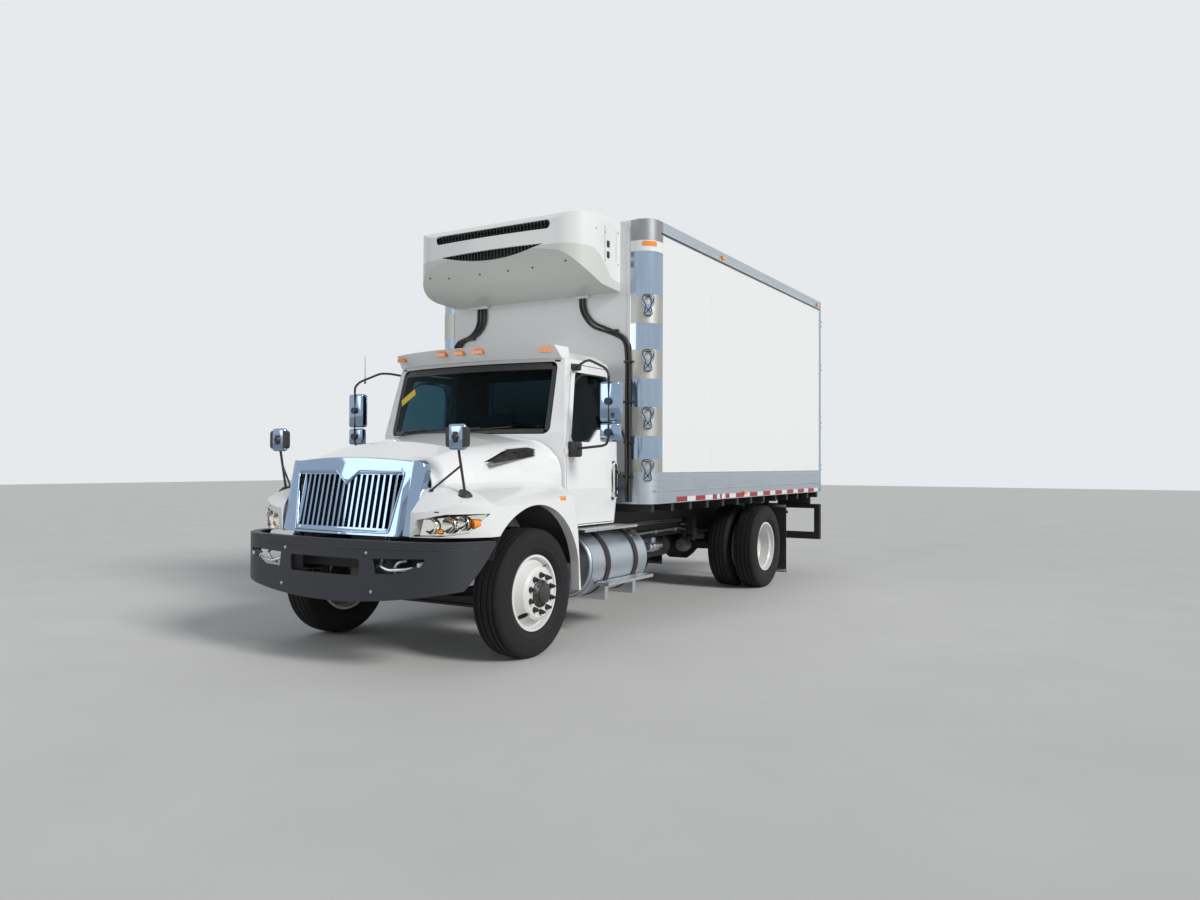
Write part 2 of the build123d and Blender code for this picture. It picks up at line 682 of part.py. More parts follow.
# Cab shell: level sections; columns are height, half width, front middle, front corner, back
CAB_SECTIONS = (
    (CAB_BOTTOM, 1000, CAB_FRONT_Y, CAB_CORNER_Y, CAB_BACK_Y),
    (1300, 1036, CAB_FRONT_Y, CAB_CORNER_Y, CAB_BACK_Y),
    (CAB_WAIST, 1024, CAB_FRONT_Y, CAB_CORNER_Y, CAB_BACK_Y),
    (CAB_ROOF_LINE, 935, FRONT_AXLE_Y + 600, FRONT_AXLE_Y + 715, CAB_BACK_Y - 20),
    (2500, 850, FRONT_AXLE_Y + 690, FRONT_AXLE_Y + 790, CAB_BACK_Y - 90),
)


def cab_solid(inset, bottom, top):
    """The cab's outside form, or with an inset its inside, between two heights."""
    stations = []
    for z, half, front, corner, back in CAB_SECTIONS:
        stations.append((z, half - inset, front + inset, corner + inset, back - inset))
    with BuildPart() as form:
        for lower, upper in zip(stations, stations[1:]):
            for z, half, front, corner, back in (lower, upper):
                with BuildSketch(level(z)) as section:
                    with BuildLine():
                        ThreePointArc((-half, corner), (0, front), (half, corner))
                        Polyline((half, corner), (half, back), (-half, back), (-half, corner))
                    make_face()
                    fillet(section.vertices().group_by(Axis.Y)[-1], 90)
            loft(ruled=True)
        block(-1500, 1500, FRONT_AXLE_Y - 500, CAB_BACK_Y + 500, top, 4000, mode=Mode.SUBTRACT)
        block(-1500, 1500, FRONT_AXLE_Y - 500, CAB_BACK_Y + 500, 0, bottom, mode=Mode.SUBTRACT)
    return form.part


cab_outer = cab_solid(0, CAB_BOTTOM, 2500)
cab_inner = cab_solid(CAB_WALL, CAB_FLOOR_TOP, 2500 - CAB_WALL)


def door_outline(x, gap):
    """Side view of a cab door, Y and Z, moved outward by gap."""
    front = DOOR_FRONT_Y - gap
    rear = DOOR_REAR_Y + gap
    low = DOOR_BOTTOM - gap
    top = DOOR_TOP + gap
    lean_low = (front, 1700)
    lean_top = (FRONT_AXLE_Y + 815 - gap, top)
    with BuildSketch(along(x)) as outline:
        with BuildLine():
            Polyline((front, low), lean_low, lean_top, (rear, top), (rear, low), close=True)
        make_face()
        fillet(outline.vertices().group_by(Axis.X)[-1].sort_by(Axis.Y)[-1], DOOR_TOP_R + gap)
        fillet(outline.vertices().group_by(Axis.X)[-1].sort_by(Axis.Y)[0], DOOR_LOW_R + gap)
    return outline.sketch


def window_outline(x, grow):
    """Side view of the door's window: its sill steps up towards the rear."""
    with BuildSketch(along(x)) as outline:
        with BuildLine():
            Polyline(
            (FRONT_AXLE_Y + 668 - grow, 1706 - grow), (FRONT_AXLE_Y + 860 - grow, 2320 + grow),
            (FRONT_AXLE_Y + 1425 + grow, 2320 + grow), (FRONT_AXLE_Y + 1435 + grow, 1830 - grow),
            (FRONT_AXLE_Y + 1130, 1820 - grow), (FRONT_AXLE_Y + 990, 1706 - grow), close=True,
        )
        make_face()
        fillet(outline.vertices(), 45)
    return outline.sketch


def side_room(inset):
    """Room between the cab's side walls, moved inward by inset and open at front and back."""
    with BuildPart() as room:
        for lower, upper in zip(CAB_SECTIONS, CAB_SECTIONS[1:]):
            for row in (lower, upper):
                with BuildSketch(level(row[0])):
                    with Locations((0, CAB_BACK_Y)):
                        Rectangle(2 * (row[1] - inset), 4000)
            loft(ruled=True)
    return room.part


# Doors: the cab's own skin inside the outline, so each has the cab's curve and thickness
def cab_door():
    with BuildPart() as door:
        add(cab_outer)
        add(side_room(CAB_WALL), mode=Mode.SUBTRACT)
        extrude(door_outline(700, 0), amount=500, mode=Mode.INTERSECT)
        extrude(window_outline(700, 0), amount=500, mode=Mode.SUBTRACT)
        with BuildSketch(along(DOOR_HINGE_X - 30)):
            with Locations((DOOR_REAR_Y - 95, 1365)):
                SlotOverall(330, 62, rotation=90)
        extrude(amount=60)
        for z in DOOR_HINGE_HEIGHTS:
            half = KNUCKLE_HALF - SEAT
            block(DOOR_HINGE_X - KNUCKLE_R, DOOR_HINGE_X + KNUCKLE_R, DOOR_HINGE_Y, DOOR_FRONT_Y + 14,
                  z - half, z + half)
            with Locations((DOOR_HINGE_X, DOOR_HINGE_Y, z)):
                Cylinder(KNUCKLE_R, 2 * half)
                Cylinder(CAB_PIN_R + SEAT, 2 * half, mode=Mode.SUBTRACT)
    return door.part


def door_glass():
    with BuildPart() as glass:
        add(cab_solid(18, 500, 2600))
        add(cab_solid(18 + GLASS_THICK, 400, 2700), mode=Mode.SUBTRACT)
        extrude(window_outline(700, -SEAT), amount=500, mode=Mode.INTERSECT)
    return glass.part


left_door = cab_door()
left_glass = door_glass()
save(left_door, "door_left")
save(mirrored(left_door), "door_right")
save(left_glass, "door_glass_left")
save(mirrored(left_glass), "door_glass_right")

# Cab panels: the hollow shell cut where the real panels meet
with BuildPart() as door_room:
    extrude(door_outline(-1200, DOOR_GAP), amount=2400)
    add(side_room(CAB_WALL + DOOR_GAP), mode=Mode.SUBTRACT)
with BuildPart() as cab_shell:
    add(cab_outer)
    add(cab_inner, mode=Mode.SUBTRACT)
    add(door_room.part, mode=Mode.SUBTRACT)
    with BuildSketch(across(CAB_FRONT_Y - 100)) as screen_view:
        with BuildLine():
            Polyline((-GLASS_LOW_X, GLASS_BOTTOM), (GLASS_LOW_X, GLASS_BOTTOM),
                     (GLASS_HIGH_X, GLASS_TOP), (-GLASS_HIGH_X, GLASS_TOP), close=True)
        make_face()
        fillet(screen_view.vertices(), 60)
    extrude(amount=-500, mode=Mode.SUBTRACT)
    with BuildSketch(across(CAB_BACK_Y - 200)):
        with Locations((0, 2100)):
            RectangleRounded(900, 420, 50)
    extrude(amount=-300, mode=Mode.SUBTRACT)
    for s in (1, -1):
        for z in DOOR_HINGE_HEIGHTS:
            with Locations((s * DOOR_HINGE_X, DOOR_HINGE_Y, z)):
                Cylinder(KNUCKLE_ROOM_R, 2 * KNUCKLE_HALF, mode=Mode.SUBTRACT)
                Cylinder(CAB_PIN_R, 2 * KNUCKLE_HALF + KNUCKLE_EAR)
            for lift in (-1, 1):
                with Locations((s * DOOR_HINGE_X, DOOR_HINGE_Y, z + lift * (KNUCKLE_HALF + KNUCKLE_EAR / 2))):
                    Cylinder(KNUCKLE_R, KNUCKLE_EAR)

BACK_SPLIT_Y = CAB_BACK_Y - CAB_WALL - 20
FLOOR_SPLIT_Z = CAB_FLOOR_TOP


def cut_out(source, x0, x1, y0, y1, z0, z1):
    with BuildPart() as piece:
        add(source)
        block(x0, x1, y0, y1, z0, z1, mode=Mode.INTERSECT)
    return piece.part


far_front = FRONT_AXLE_Y - 200
far_back = CAB_BACK_Y + 200
save(cut_out(cab_shell.part, -1300, 1300, far_front, far_back, 900, FLOOR_SPLIT_Z), "cab_floor")
save(cut_out(cab_shell.part, -1300, 1300, BACK_SPLIT_Y, far_back, FLOOR_SPLIT_Z, CAB_ROOF_LINE), "cab_back")
save(cut_out(cab_shell.part, -1300, 1300, far_front, BACK_SPLIT_Y, FLOOR_SPLIT_Z, CAB_ROOF_LINE), "cab_front")

# Windshield and rear window
with BuildPart() as windshield:
    add(cab_solid(12, 500, 2600))
    add(cab_solid(12 + GLASS_THICK, 400, 2700), mode=Mode.SUBTRACT)
    with BuildSketch(across(CAB_FRONT_Y - 100)) as pane_view:
        with BuildLine():
            Polyline((-GLASS_LOW_X + SEAT, GLASS_BOTTOM + SEAT), (GLASS_LOW_X - SEAT, GLASS_BOTTOM + SEAT),
                     (GLASS_HIGH_X - SEAT, GLASS_TOP - SEAT), (-GLASS_HIGH_X + SEAT, GLASS_TOP - SEAT),
                     close=True)
        make_face()
        fillet(pane_view.vertices(), 60)
    extrude(amount=-500, mode=Mode.INTERSECT)
with BuildPart() as rear_window:
    with BuildSketch(across(CAB_BACK_Y - 30)):
        with Locations((0, 2100)):
            RectangleRounded(900 - 2 * SEAT, 420 - 2 * SEAT, 50)
    extrude(amount=-GLASS_THICK)
save(Compound(children=[windshield.part, rear_window.part]), "cab_glass")

# Roof visor: the brow over the windshield that carries the clearance lamps
with BuildPart() as visor:
    with BuildSketch(level(2425)):
        with BuildLine():
            ThreePointArc((-925, FRONT_AXLE_Y + 690), (0, FRONT_AXLE_Y + 520), (925, FRONT_AXLE_Y + 690))
            Polyline((925, FRONT_AXLE_Y + 690), (925, FRONT_AXLE_Y + 800), (-925, FRONT_AXLE_Y + 800),
                     (-925, FRONT_AXLE_Y + 690))
        make_face()
    with BuildSketch(level(2535)):
        with BuildLine():
            ThreePointArc((-900, FRONT_AXLE_Y + 600), (0, FRONT_AXLE_Y + 410), (900, FRONT_AXLE_Y + 600))
            Polyline((900, FRONT_AXLE_Y + 600), (900, FRONT_AXLE_Y + 830), (-900, FRONT_AXLE_Y + 830),
                     (-900, FRONT_AXLE_Y + 600))
        make_face()
    loft(ruled=True)
    add(cab_outer, mode=Mode.SUBTRACT)
with BuildPart() as cab_roof:
    add(cut_out(cab_shell.part, -1300, 1300, far_front, far_back, CAB_ROOF_LINE, 2600))
    add(visor.part)
save(cab_roof.part, "cab_roof")


# Hood: a bonnet lofted along the truck; columns are station, crown height, shoulder half width,
# shoulder height, waist half width, waist height
HOOD_FRONT_Y = FRONT_AXLE_Y - 735
HOOD_REAR_Y = CAB_CORNER_Y + 60
BONNET_SECTIONS = (
    (HOOD_FRONT_Y, 1560, 600, 1520, 716, 1300),
    (FRONT_AXLE_Y - 380, 1690, 640, 1625, 850, 1370),
    (FRONT_AXLE_Y + 60, 1768, 705, 1680, 950, 1420),
    (HOOD_REAR_Y, 1800, 830, 1725, 1022, 1440),
)


def bonnet(inset, overrun):
    """Bonnet form, inset from the outside, its ends moved out by overrun."""
    with BuildPart() as form:
        for place, row in enumerate(BONNET_SECTIONS):
            y, crown, shoulder_x, shoulder_z, waist_x, waist_z = row
            if place == 0:
                y -= overrun
            if place == len(BONNET_SECTIONS) - 1:
                y += overrun
            with BuildSketch(across(y)):
                with BuildLine():
                    shoulder = (shoulder_x - inset, shoulder_z - inset)
                    waist = (waist_x - inset, waist_z)
                    ThreePointArc((-shoulder[0], shoulder[1]), (0, crown - inset), shoulder)
                    for s in (1, -1):
                        middle = (s * ((shoulder[0] + waist[0]) / 2 + 34), (shoulder[1] + waist[1]) / 2 + 34)
                        ThreePointArc((s * shoulder[0], shoulder[1]), middle, (s * waist[0], waist[1]))
                        Line((s * waist[0], waist[1]), (s * waist[0], HOOD_BOTTOM - inset))
                    Line((-waist[0], HOOD_BOTTOM - inset), (waist[0], HOOD_BOTTOM - inset))
                make_face()
        loft(ruled=True)
    return form.part


def fender_plan(inset, width):
    """Top view of both fenders and the nose between them."""
    front = FRONT_AXLE_Y - 925 + inset
    with BuildSketch(level(300)) as plan:
        with BuildLine():
            rear = FRONT_AXLE_Y + 600
            corner = (660, front)
            tip = (min(width, FENDER_X - 26 - inset), FRONT_AXLE_Y - 600)
            for s in (1, -1):
                ThreePointArc((s * corner[0], corner[1]),
                              (s * (tip[0] - 165), FRONT_AXLE_Y - 800 + inset * 0.7), (s * tip[0], tip[1]))
                Line((s * tip[0], tip[1]), (s * width, FRONT_AXLE_Y - 250))
                Line((s * width, FRONT_AXLE_Y - 250), (s * width, rear))
            Line((-corner[0], front), corner)
            Line((-width, rear), (width, rear))
        make_face()
    return plan.sketch


# Fender sections; columns are station, height at the bonnet, height halfway out, edge height
FENDER_SECTIONS = (
    (FRONT_AXLE_Y - 960, 1120, 1075, 1010),
    (FRONT_AXLE_Y - 780, 1330, 1252, 1130),
    (FRONT_AXLE_Y - 560, 1385, 1318, 1185),
    (FRONT_AXLE_Y, 1430, 1368, 1218),
    (FRONT_AXLE_Y + 620, 1450, 1400, 1264),
)


def fender_body(inset, width):
    """Both fenders lofted along the truck: each section slopes out and rolls over to the side."""
    with BuildPart() as body:
        for y, inner_z, middle_z, edge_z in FENDER_SECTIONS:
            with BuildSketch(across(y)):
                with BuildLine():
                    for s in (1, -1):
                        ThreePointArc((s * 640, inner_z - inset), (s * 950, middle_z - inset),
                                      (s * width, edge_z - inset))
                        Line((s * width, edge_z - inset), (s * width, 300))
                    Line((-640, inner_z - inset), (640, inner_z - inset))
                    Line((-width, 300), (width, 300))
                make_face()
        loft(ruled=True)
    return body.part


def fender_side(grow, bottom):
    """Side view of a fender: the wheel arch and the trailing edge behind the wheel."""
    with BuildSketch(along(-1300)) as view:
        with BuildLine():
            arch_front = (FRONT_AXLE_Y - 500 - grow, bottom)
            arch_top = (FRONT_AXLE_Y + 45, 1190 + grow)
            arch_rear = (FRONT_AXLE_Y + 552 + grow, 700)
            arch_foot = (FRONT_AXLE_Y + 564 + grow, 465)
            ThreePointArc(arch_front, arch_top, arch_rear)
            Line(arch_rear, arch_foot)
            Polyline(arch_foot, (FRONT_AXLE_Y + 592, 465), (FRONT_AXLE_Y + 540 - grow, 970),
                     (FRONT_AXLE_Y + 450 - grow, 1250), (FRONT_AXLE_Y + 450 - grow, 1500),
                     (FRONT_AXLE_Y - 990, 1500), (FRONT_AXLE_Y - 990, bottom), arch_front)
        make_face()
    return view.sketch


def fender_form(inset, width, grow, bottom):
    with BuildPart() as form:
        extrude(fender_plan(inset, width), amount=1400)
        add(fender_body(inset, width), mode=Mode.INTERSECT)
        extrude(fender_side(grow, bottom), amount=2600, mode=Mode.INTERSECT)
    return form.part


def seam_cylinder(offset):
    """Upright cylinder whose front follows the cab's bowed front, moved forward by offset."""
    rise = CAB_CORNER_Y - CAB_FRONT_Y
    half = CAB_SECTIONS[1][1]
    radius = (half ** 2 + rise ** 2) / (2 * rise)
    with BuildPart() as cylinder:
        with BuildSketch(level(0)):
            with Locations((0, CAB_FRONT_Y + radius)):
                Circle(radius + offset)
        extrude(amount=2600)
    return cylinder.part


def grille_view(inset):
    with BuildSketch(across(FRONT_AXLE_Y - 1100)) as view:
        with BuildLine():
            Line((-672 + inset, HOOD_BOTTOM + inset), (672 - inset, HOOD_BOTTOM + inset))
            Line((672 - inset, HOOD_BOTTOM + inset), (704 - inset, 1440))
            Line((-672 + inset, HOOD_BOTTOM + inset), (-704 + inset, 1440))
            ThreePointArc((704 - inset, 1440), (690 - inset, 1512 - inset), (610, 1528 - inset))
            ThreePointArc((-704 + inset, 1440), (-690 + inset, 1512 - inset), (-610, 1528 - inset))
            ThreePointArc((610, 1528 - inset), (0, 1560 - inset), (-610, 1528 - inset))
        make_face()
    return view.sketch


hood_outer_fender = fender_form(0, FENDER_X, 0, HOOD_BOTTOM)
with BuildPart() as nose_walls:
    add(hood_outer_fender)
    block(-NOSE_WALL_X - HOOD_SKIN, NOSE_WALL_X + HOOD_SKIN, FRONT_AXLE_Y - 1100, HOOD_FRONT_Y + 30,
          0, 2000, mode=Mode.INTERSECT)
    block(-NOSE_WALL_X, NOSE_WALL_X, FRONT_AXLE_Y - 1100, HOOD_FRONT_Y + 30, 0, 2000, mode=Mode.SUBTRACT)
with BuildPart() as hood:
    add(bonnet(0, 0))
    add(hood_outer_fender)
    add(bonnet(HOOD_SKIN, 5), mode=Mode.SUBTRACT)
    add(fender_form(HOOD_SKIN, FENDER_X - HOOD_SKIN, HOOD_SKIN, 300), mode=Mode.SUBTRACT)
    block(-FENDER_X + LIP_WIDTH, FENDER_X - LIP_WIDTH, FRONT_AXLE_Y - 480, FRONT_AXLE_Y + 640,
          300, 1190, mode=Mode.SUBTRACT)
    extrude(grille_view(-1), amount=-(HOOD_FRONT_Y - FRONT_AXLE_Y + 1100), mode=Mode.SUBTRACT)
    add(seam_cylinder(SEAM), mode=Mode.SUBTRACT)
    add(nose_walls.part)


# Headlamps: the corner of the fender itself, between two depths, inside a swept outline
def lamp_outline(grow):
    with BuildSketch(across(FRONT_AXLE_Y - 1000)) as view:
        for s in (1, -1):
            with BuildLine():
                Polyline((s * (705 - grow), 988 - grow), (s * (735 - grow), 1105 + grow),
                         (s * 940, 1146 + grow), (s * (1160 + grow), 1150 + grow),
                         (s * 1070, 1014 - grow), (s * 900, 988 - grow), close=True)
            make_face()
    return view.sketch


with BuildPart() as headlamps:
    add(fender_form(-3, FENDER_X + 3, 0, HOOD_BOTTOM))
    add(fender_form(HOOD_SKIN + 30, FENDER_X - HOOD_SKIN - 30, 0, 300), mode=Mode.SUBTRACT)
    extrude(lamp_outline(0), amount=-480, mode=Mode.INTERSECT)
    block(-1300, 1300, FRONT_AXLE_Y - 590, FRONT_AXLE_Y, 300, 1500, mode=Mode.SUBTRACT)
save(headlamps.part, "headlamps")
with BuildPart() as hood_cut:
    add(hood.part)
    extrude(lamp_outline(1), amount=-420, mode=Mode.SUBTRACT)
    for side in (1, -1):
        with BuildSketch(along(side * 800)):
            with BuildLine():
                Polyline((FRONT_AXLE_Y - 260, 1522), (FRONT_AXLE_Y + 40, 1628), (FRONT_AXLE_Y + 285, 1650),
                         (FRONT_AXLE_Y + 285, 1582), close=True)
            make_face()
        extrude(amount=side * 400, mode=Mode.SUBTRACT)
save(hood_cut.part, "hood")

# Grille: a bowed, leaning shell with upright bars behind its opening
def nose_block(inset, z0, z1, extra):
    """Loft between two bowed plans: the nose leans back as it rises."""
    with BuildPart() as nose:
        for z in (z0, z1):
            lean = GRILLE_TILT_RUN * (z - 1018) / (1445 - 1018)
            with BuildSketch(level(z)):
                with BuildLine():
                    end = bowed_line(NOSE_Y + lean, NOSE_BOW_R, NOSE_BOW_HALF, NOSE_CORNER_R, NOSE_CORNER_TURN, inset)
                    back = HOOD_FRONT_Y - SEAT + extra
                    Polyline((end.X, end.Y), (end.X, back), (-end.X, back), (-end.X, end.Y))
                make_face()
        loft(ruled=True)
    return nose.part


def grille_opening(grow):
    with BuildSketch(across(FRONT_AXLE_Y - 1100)) as view:
        with BuildLine():
            Polyline((-480 - grow, 1012 - grow), (480 + grow, 1012 - grow), (552 + grow, 1446 + grow),
                     (120, 1446 + grow), (0, 1350 + grow), (-120, 1446 + grow), (-552 - grow, 1446 + grow),
                     close=True)
        make_face()
        fillet(view.vertices().group_by(Axis.X)[0] + view.vertices().group_by(Axis.X)[-1], 30)
    return view.sketch


SHELL = 14
BAR_PITCH = 57
with BuildPart() as grille:
    add(nose_block(0, 900, 1600, 0))
    extrude(grille_view(0), amount=-500, mode=Mode.INTERSECT)
with BuildPart() as grille_hollow:
    add(nose_block(SHELL, 900, 1600, 10))
    extrude(grille_view(SHELL), amount=-500, mode=Mode.INTERSECT)
with BuildPart() as grille_shell:
    add(grille.part)
    add(grille_hollow.part, mode=Mode.SUBTRACT)
    extrude(grille_opening(0), amount=-330, mode=Mode.SUBTRACT)
with BuildPart() as grille_bars:
    add(nose_block(SHELL - 4, 900, 1600, 0))
    add(nose_block(SHELL + 26, 800, 1700, 10), mode=Mode.SUBTRACT)
    extrude(grille_opening(8), amount=-330, mode=Mode.INTERSECT)
    with BuildSketch(across(FRONT_AXLE_Y - 1100)):
        with Locations([(BAR_PITCH * (place - 8.5), 1230) for place in range(18)]):
            Rectangle(20, 600)
        with Locations((0, 1020), (0, 1440)):
            Rectangle(1200, 26)
    extrude(amount=-400, mode=Mode.INTERSECT)
with BuildPart() as grille_assembly:
    add(grille_shell.part)
    add(grille_bars.part)
    for s in (1, -1):
        x0, x1 = sorted((s * HINGE_LUG_X, s * (HINGE_LUG_X + HINGE_LUG_W)))
        block(x0, x1, HOOD_HINGE_Y - HINGE_R, HOOD_HINGE_Y + HINGE_R, HOOD_HINGE_Z, HOOD_BOTTOM + 6)
        with BuildSketch(along(x0)):
            with Locations((HOOD_HINGE_Y, HOOD_HINGE_Z)):
                Circle(HINGE_R)
        extrude(amount=HINGE_LUG_W)
        with BuildSketch(along(x0)):
            with Locations((HOOD_HINGE_Y, HOOD_HINGE_Z)):
                Circle(HINGE_PIN_R + SEAT)
        extrude(amount=HINGE_LUG_W, mode=Mode.SUBTRACT)
save(grille_assembly.part, "grille")


# Hood mirrors: two feet on the fender, an upright rod, a brace and a convex head
def hood_mirror():
    foot = Vector(960, FRONT_AXLE_Y - 650, 1287 + SEAT)
    brace_foot = Vector(752, FRONT_AXLE_Y - 778, 1312 + SEAT)
    head = Vector(950, FRONT_AXLE_Y - 735, 1705)
    with BuildPart() as mirror:
        with BuildSketch(Plane(origin=foot, z_dir=(0.40, -0.30, 1))):
            Ellipse(52, 34)
        extrude(amount=18)
        with BuildSketch(Plane(origin=brace_foot, z_dir=(0.21, -0.28, 1))):
            Circle(16)
        extrude(amount=9)
        add(rod(foot + Vector(0, 0, 12), head, 10))
        add(rod(brace_foot + Vector(0, 0, 6.5), foot + (head - foot) * 0.5, 8))
        with BuildSketch(Plane(origin=head - Vector(0, 12, 0), z_dir=(0, -1, 0))):
            RectangleRounded(150, 190, 28)
        extrude(amount=-46)
    return mirror.part


save(pair(hood_mirror()), "hood_mirrors")


# Door mirrors: brackets on the door, a bent tube round the outside and two heads
MIRROR_TUBE_R = 11


def door_mirror():
    upper = [(935, FRONT_AXLE_Y + 870, 2352), (1180, FRONT_AXLE_Y + 700, 2400),
             (1447, FRONT_AXLE_Y + 590, 2290), (1447, FRONT_AXLE_Y + 590, 1960),
             (1447, FRONT_AXLE_Y + 590, 1690)]
    with BuildPart() as mirror:
        add(rod(upper[0], upper[1], MIRROR_TUBE_R))
        add(rod(upper[1], upper[2], MIRROR_TUBE_R))
        add(rod(upper[2], upper[4], MIRROR_TUBE_R))
        add(rod(upper[4], (1040, FRONT_AXLE_Y + 680, 1640), MIRROR_TUBE_R))
        with Locations(upper[1], upper[2], upper[4]):
            Sphere(MIRROR_TUBE_R + 1)
        block(1026, 1110, FRONT_AXLE_Y + 640, FRONT_AXLE_Y + 720, 1590, 1690)
        block(1354, 1540, FRONT_AXLE_Y + 596, FRONT_AXLE_Y + 672, 1870, 2190)
        block(1360, 1534, FRONT_AXLE_Y + 596, FRONT_AXLE_Y + 660, 1700, 1850)
        add(left_door, mode=Mode.SUBTRACT)
    return mirror.part


left_mirror = door_mirror()
save(left_mirror, "mirror_left")
save(mirrored(left_mirror), "mirror_right")

# Dashboard with the steering column
COLUMN_LOW = Vector(430, FRONT_AXLE_Y + 720, 1450)
COLUMN_TOP = Vector(430, FRONT_AXLE_Y + 900, 1700)
COLUMN_AXIS = (COLUMN_TOP - COLUMN_LOW).normalized()
DASH_HALF = 968
DASH_BOTTOM = 1250
DASH_TOP = 1770
with BuildPart() as dashboard:
    with BuildSketch(along(-DASH_HALF)):
        with BuildLine():
            Polyline((CAB_FRONT_Y, DASH_BOTTOM), (CAB_FRONT_Y, DASH_TOP - 20), (FRONT_AXLE_Y + 690, DASH_TOP),
                     (FRONT_AXLE_Y + 800, DASH_TOP - 50), (FRONT_AXLE_Y + 830, DASH_TOP - 170),
                     (FRONT_AXLE_Y + 790, DASH_TOP - 270), (FRONT_AXLE_Y + 760, DASH_BOTTOM), close=True)
        make_face()
    extrude(amount=2 * DASH_HALF)
    add(cab_solid(CAB_WALL + SEAT, DASH_BOTTOM - 50, DASH_TOP + 50), mode=Mode.INTERSECT)
    add(rod(COLUMN_LOW, COLUMN_TOP, 36))
save(dashboard.part, "dashboard")

# Steering wheel on the column's end
WHEEL_CENTRE = COLUMN_TOP + COLUMN_AXIS * 40
with BuildPart() as steering_wheel:
    with BuildSketch(Plane(origin=WHEEL_CENTRE, x_dir=(1, 0, 0), z_dir=COLUMN_AXIS)):
        Circle(228)
        Circle(198, mode=Mode.SUBTRACT)
        Circle(62)
        for angle in (0, 120, 240):
            with PolarLocations(130, 1, start_angle=angle + 90):
                Rectangle(150, 34)
    extrude(amount=14, both=True)
    with BuildSketch(Plane(origin=COLUMN_TOP + COLUMN_AXIS * SEAT, z_dir=COLUMN_AXIS)):
        Circle(28)
    extrude(amount=30)
save(steering_wheel.part, "steering_wheel")

# Seats
seats = []
for x, half in ((430, 250), (-380, 300)):
    with BuildPart() as seat:
        block(x - half, x + half, FRONT_AXLE_Y + 960, FRONT_AXLE_Y + 1390, 1380, 1490)
        with BuildSketch(along(x - half)):
            with BuildLine():
                Polyline((FRONT_AXLE_Y + 1300, 1490), (FRONT_AXLE_Y + 1380, 1380), (FRONT_AXLE_Y + 1475, 2020),
                         (FRONT_AXLE_Y + 1400, 2030), close=True)
            make_face()
        extrude(amount=2 * half)
        block(x - half + 60, x + half - 60, FRONT_AXLE_Y + 1020, FRONT_AXLE_Y + 1350, CAB_FLOOR_TOP + SEAT, 1380)
    seats.append(seat.part)
save(Compound(children=seats), "seats")


# Insulated body
INSIDE_X = BODY_X - TRIM - WALL
FRONT_INNER_Y = BODY_FRONT_Y + TRIM + WALL
REAR_FRAME_Y = BODY_REAR_Y - REAR_FRAME_DEPTH
WALL_TOP = BODY_TOP - TRIM - ROOF_THICK
FLOOR_TOP = BODY_BOTTOM + FLOOR_THICK
CORNER_Y = BODY_FRONT_Y + CORNER_R
CORNER_X = BODY_X - CORNER_R


def corner_band(outer, inner, flat, z0, z1, whole=False):
    """Band round the front corners; with whole set it runs across the front too."""
    with BuildPart() as band:
        for s in (1, -1):
            with BuildSketch(level(z0)):
                with BuildLine():
                    for r in (CORNER_R + outer, CORNER_R + inner):
                        CenterArc((s * CORNER_X, CORNER_Y), r, 270, s * 90)
                        Line((s * (CORNER_X + r), CORNER_Y), (s * (CORNER_X + r), CORNER_Y + flat))
                        front_x = 0 if whole else CORNER_X - flat
                        Line((s * CORNER_X, CORNER_Y - r), (s * front_x, CORNER_Y - r))
                    Line((s * (CORNER_X + CORNER_R + outer), CORNER_Y + flat),
                         (s * (CORNER_X + CORNER_R + inner), CORNER_Y + flat))
                    Line((s * front_x, CORNER_Y - CORNER_R - outer), (s * front_x, CORNER_Y - CORNER_R - inner))
                make_face()
            extrude(amount=z1 - z0)
    return band.part


save(corner_band(-TRIM, -TRIM - WALL, 0.01, BODY_BOTTOM, WALL_TOP, whole=True), "front_wall")

with BuildPart() as side_wall:
    block(INSIDE_X, BODY_X - TRIM, CORNER_Y + 0.01, REAR_FRAME_Y, BODY_BOTTOM, WALL_TOP)
save(pair(side_wall.part), "side_walls")

with BuildPart() as cargo_floor:
    block(-INSIDE_X, INSIDE_X, CORNER_Y, REAR_FRAME_Y, BODY_BOTTOM, FLOOR_TOP)
    block(-CORNER_X, CORNER_X, FRONT_INNER_Y, CORNER_Y, BODY_BOTTOM, FLOOR_TOP)
save(cargo_floor.part, "cargo_floor")

with BuildPart() as cargo_roof:
    with BuildSketch(level(WALL_TOP)) as roof_plan:
        half_x = BODY_X - TRIM
        with Locations((0, (BODY_FRONT_Y + TRIM + REAR_FRAME_Y) / 2)):
            Rectangle(2 * half_x, REAR_FRAME_Y - BODY_FRONT_Y - TRIM)
        fillet(roof_plan.vertices().group_by(Axis.Y)[0], CORNER_R - TRIM)
    extrude(amount=ROOF_THICK)
save(cargo_roof.part, "cargo_roof")

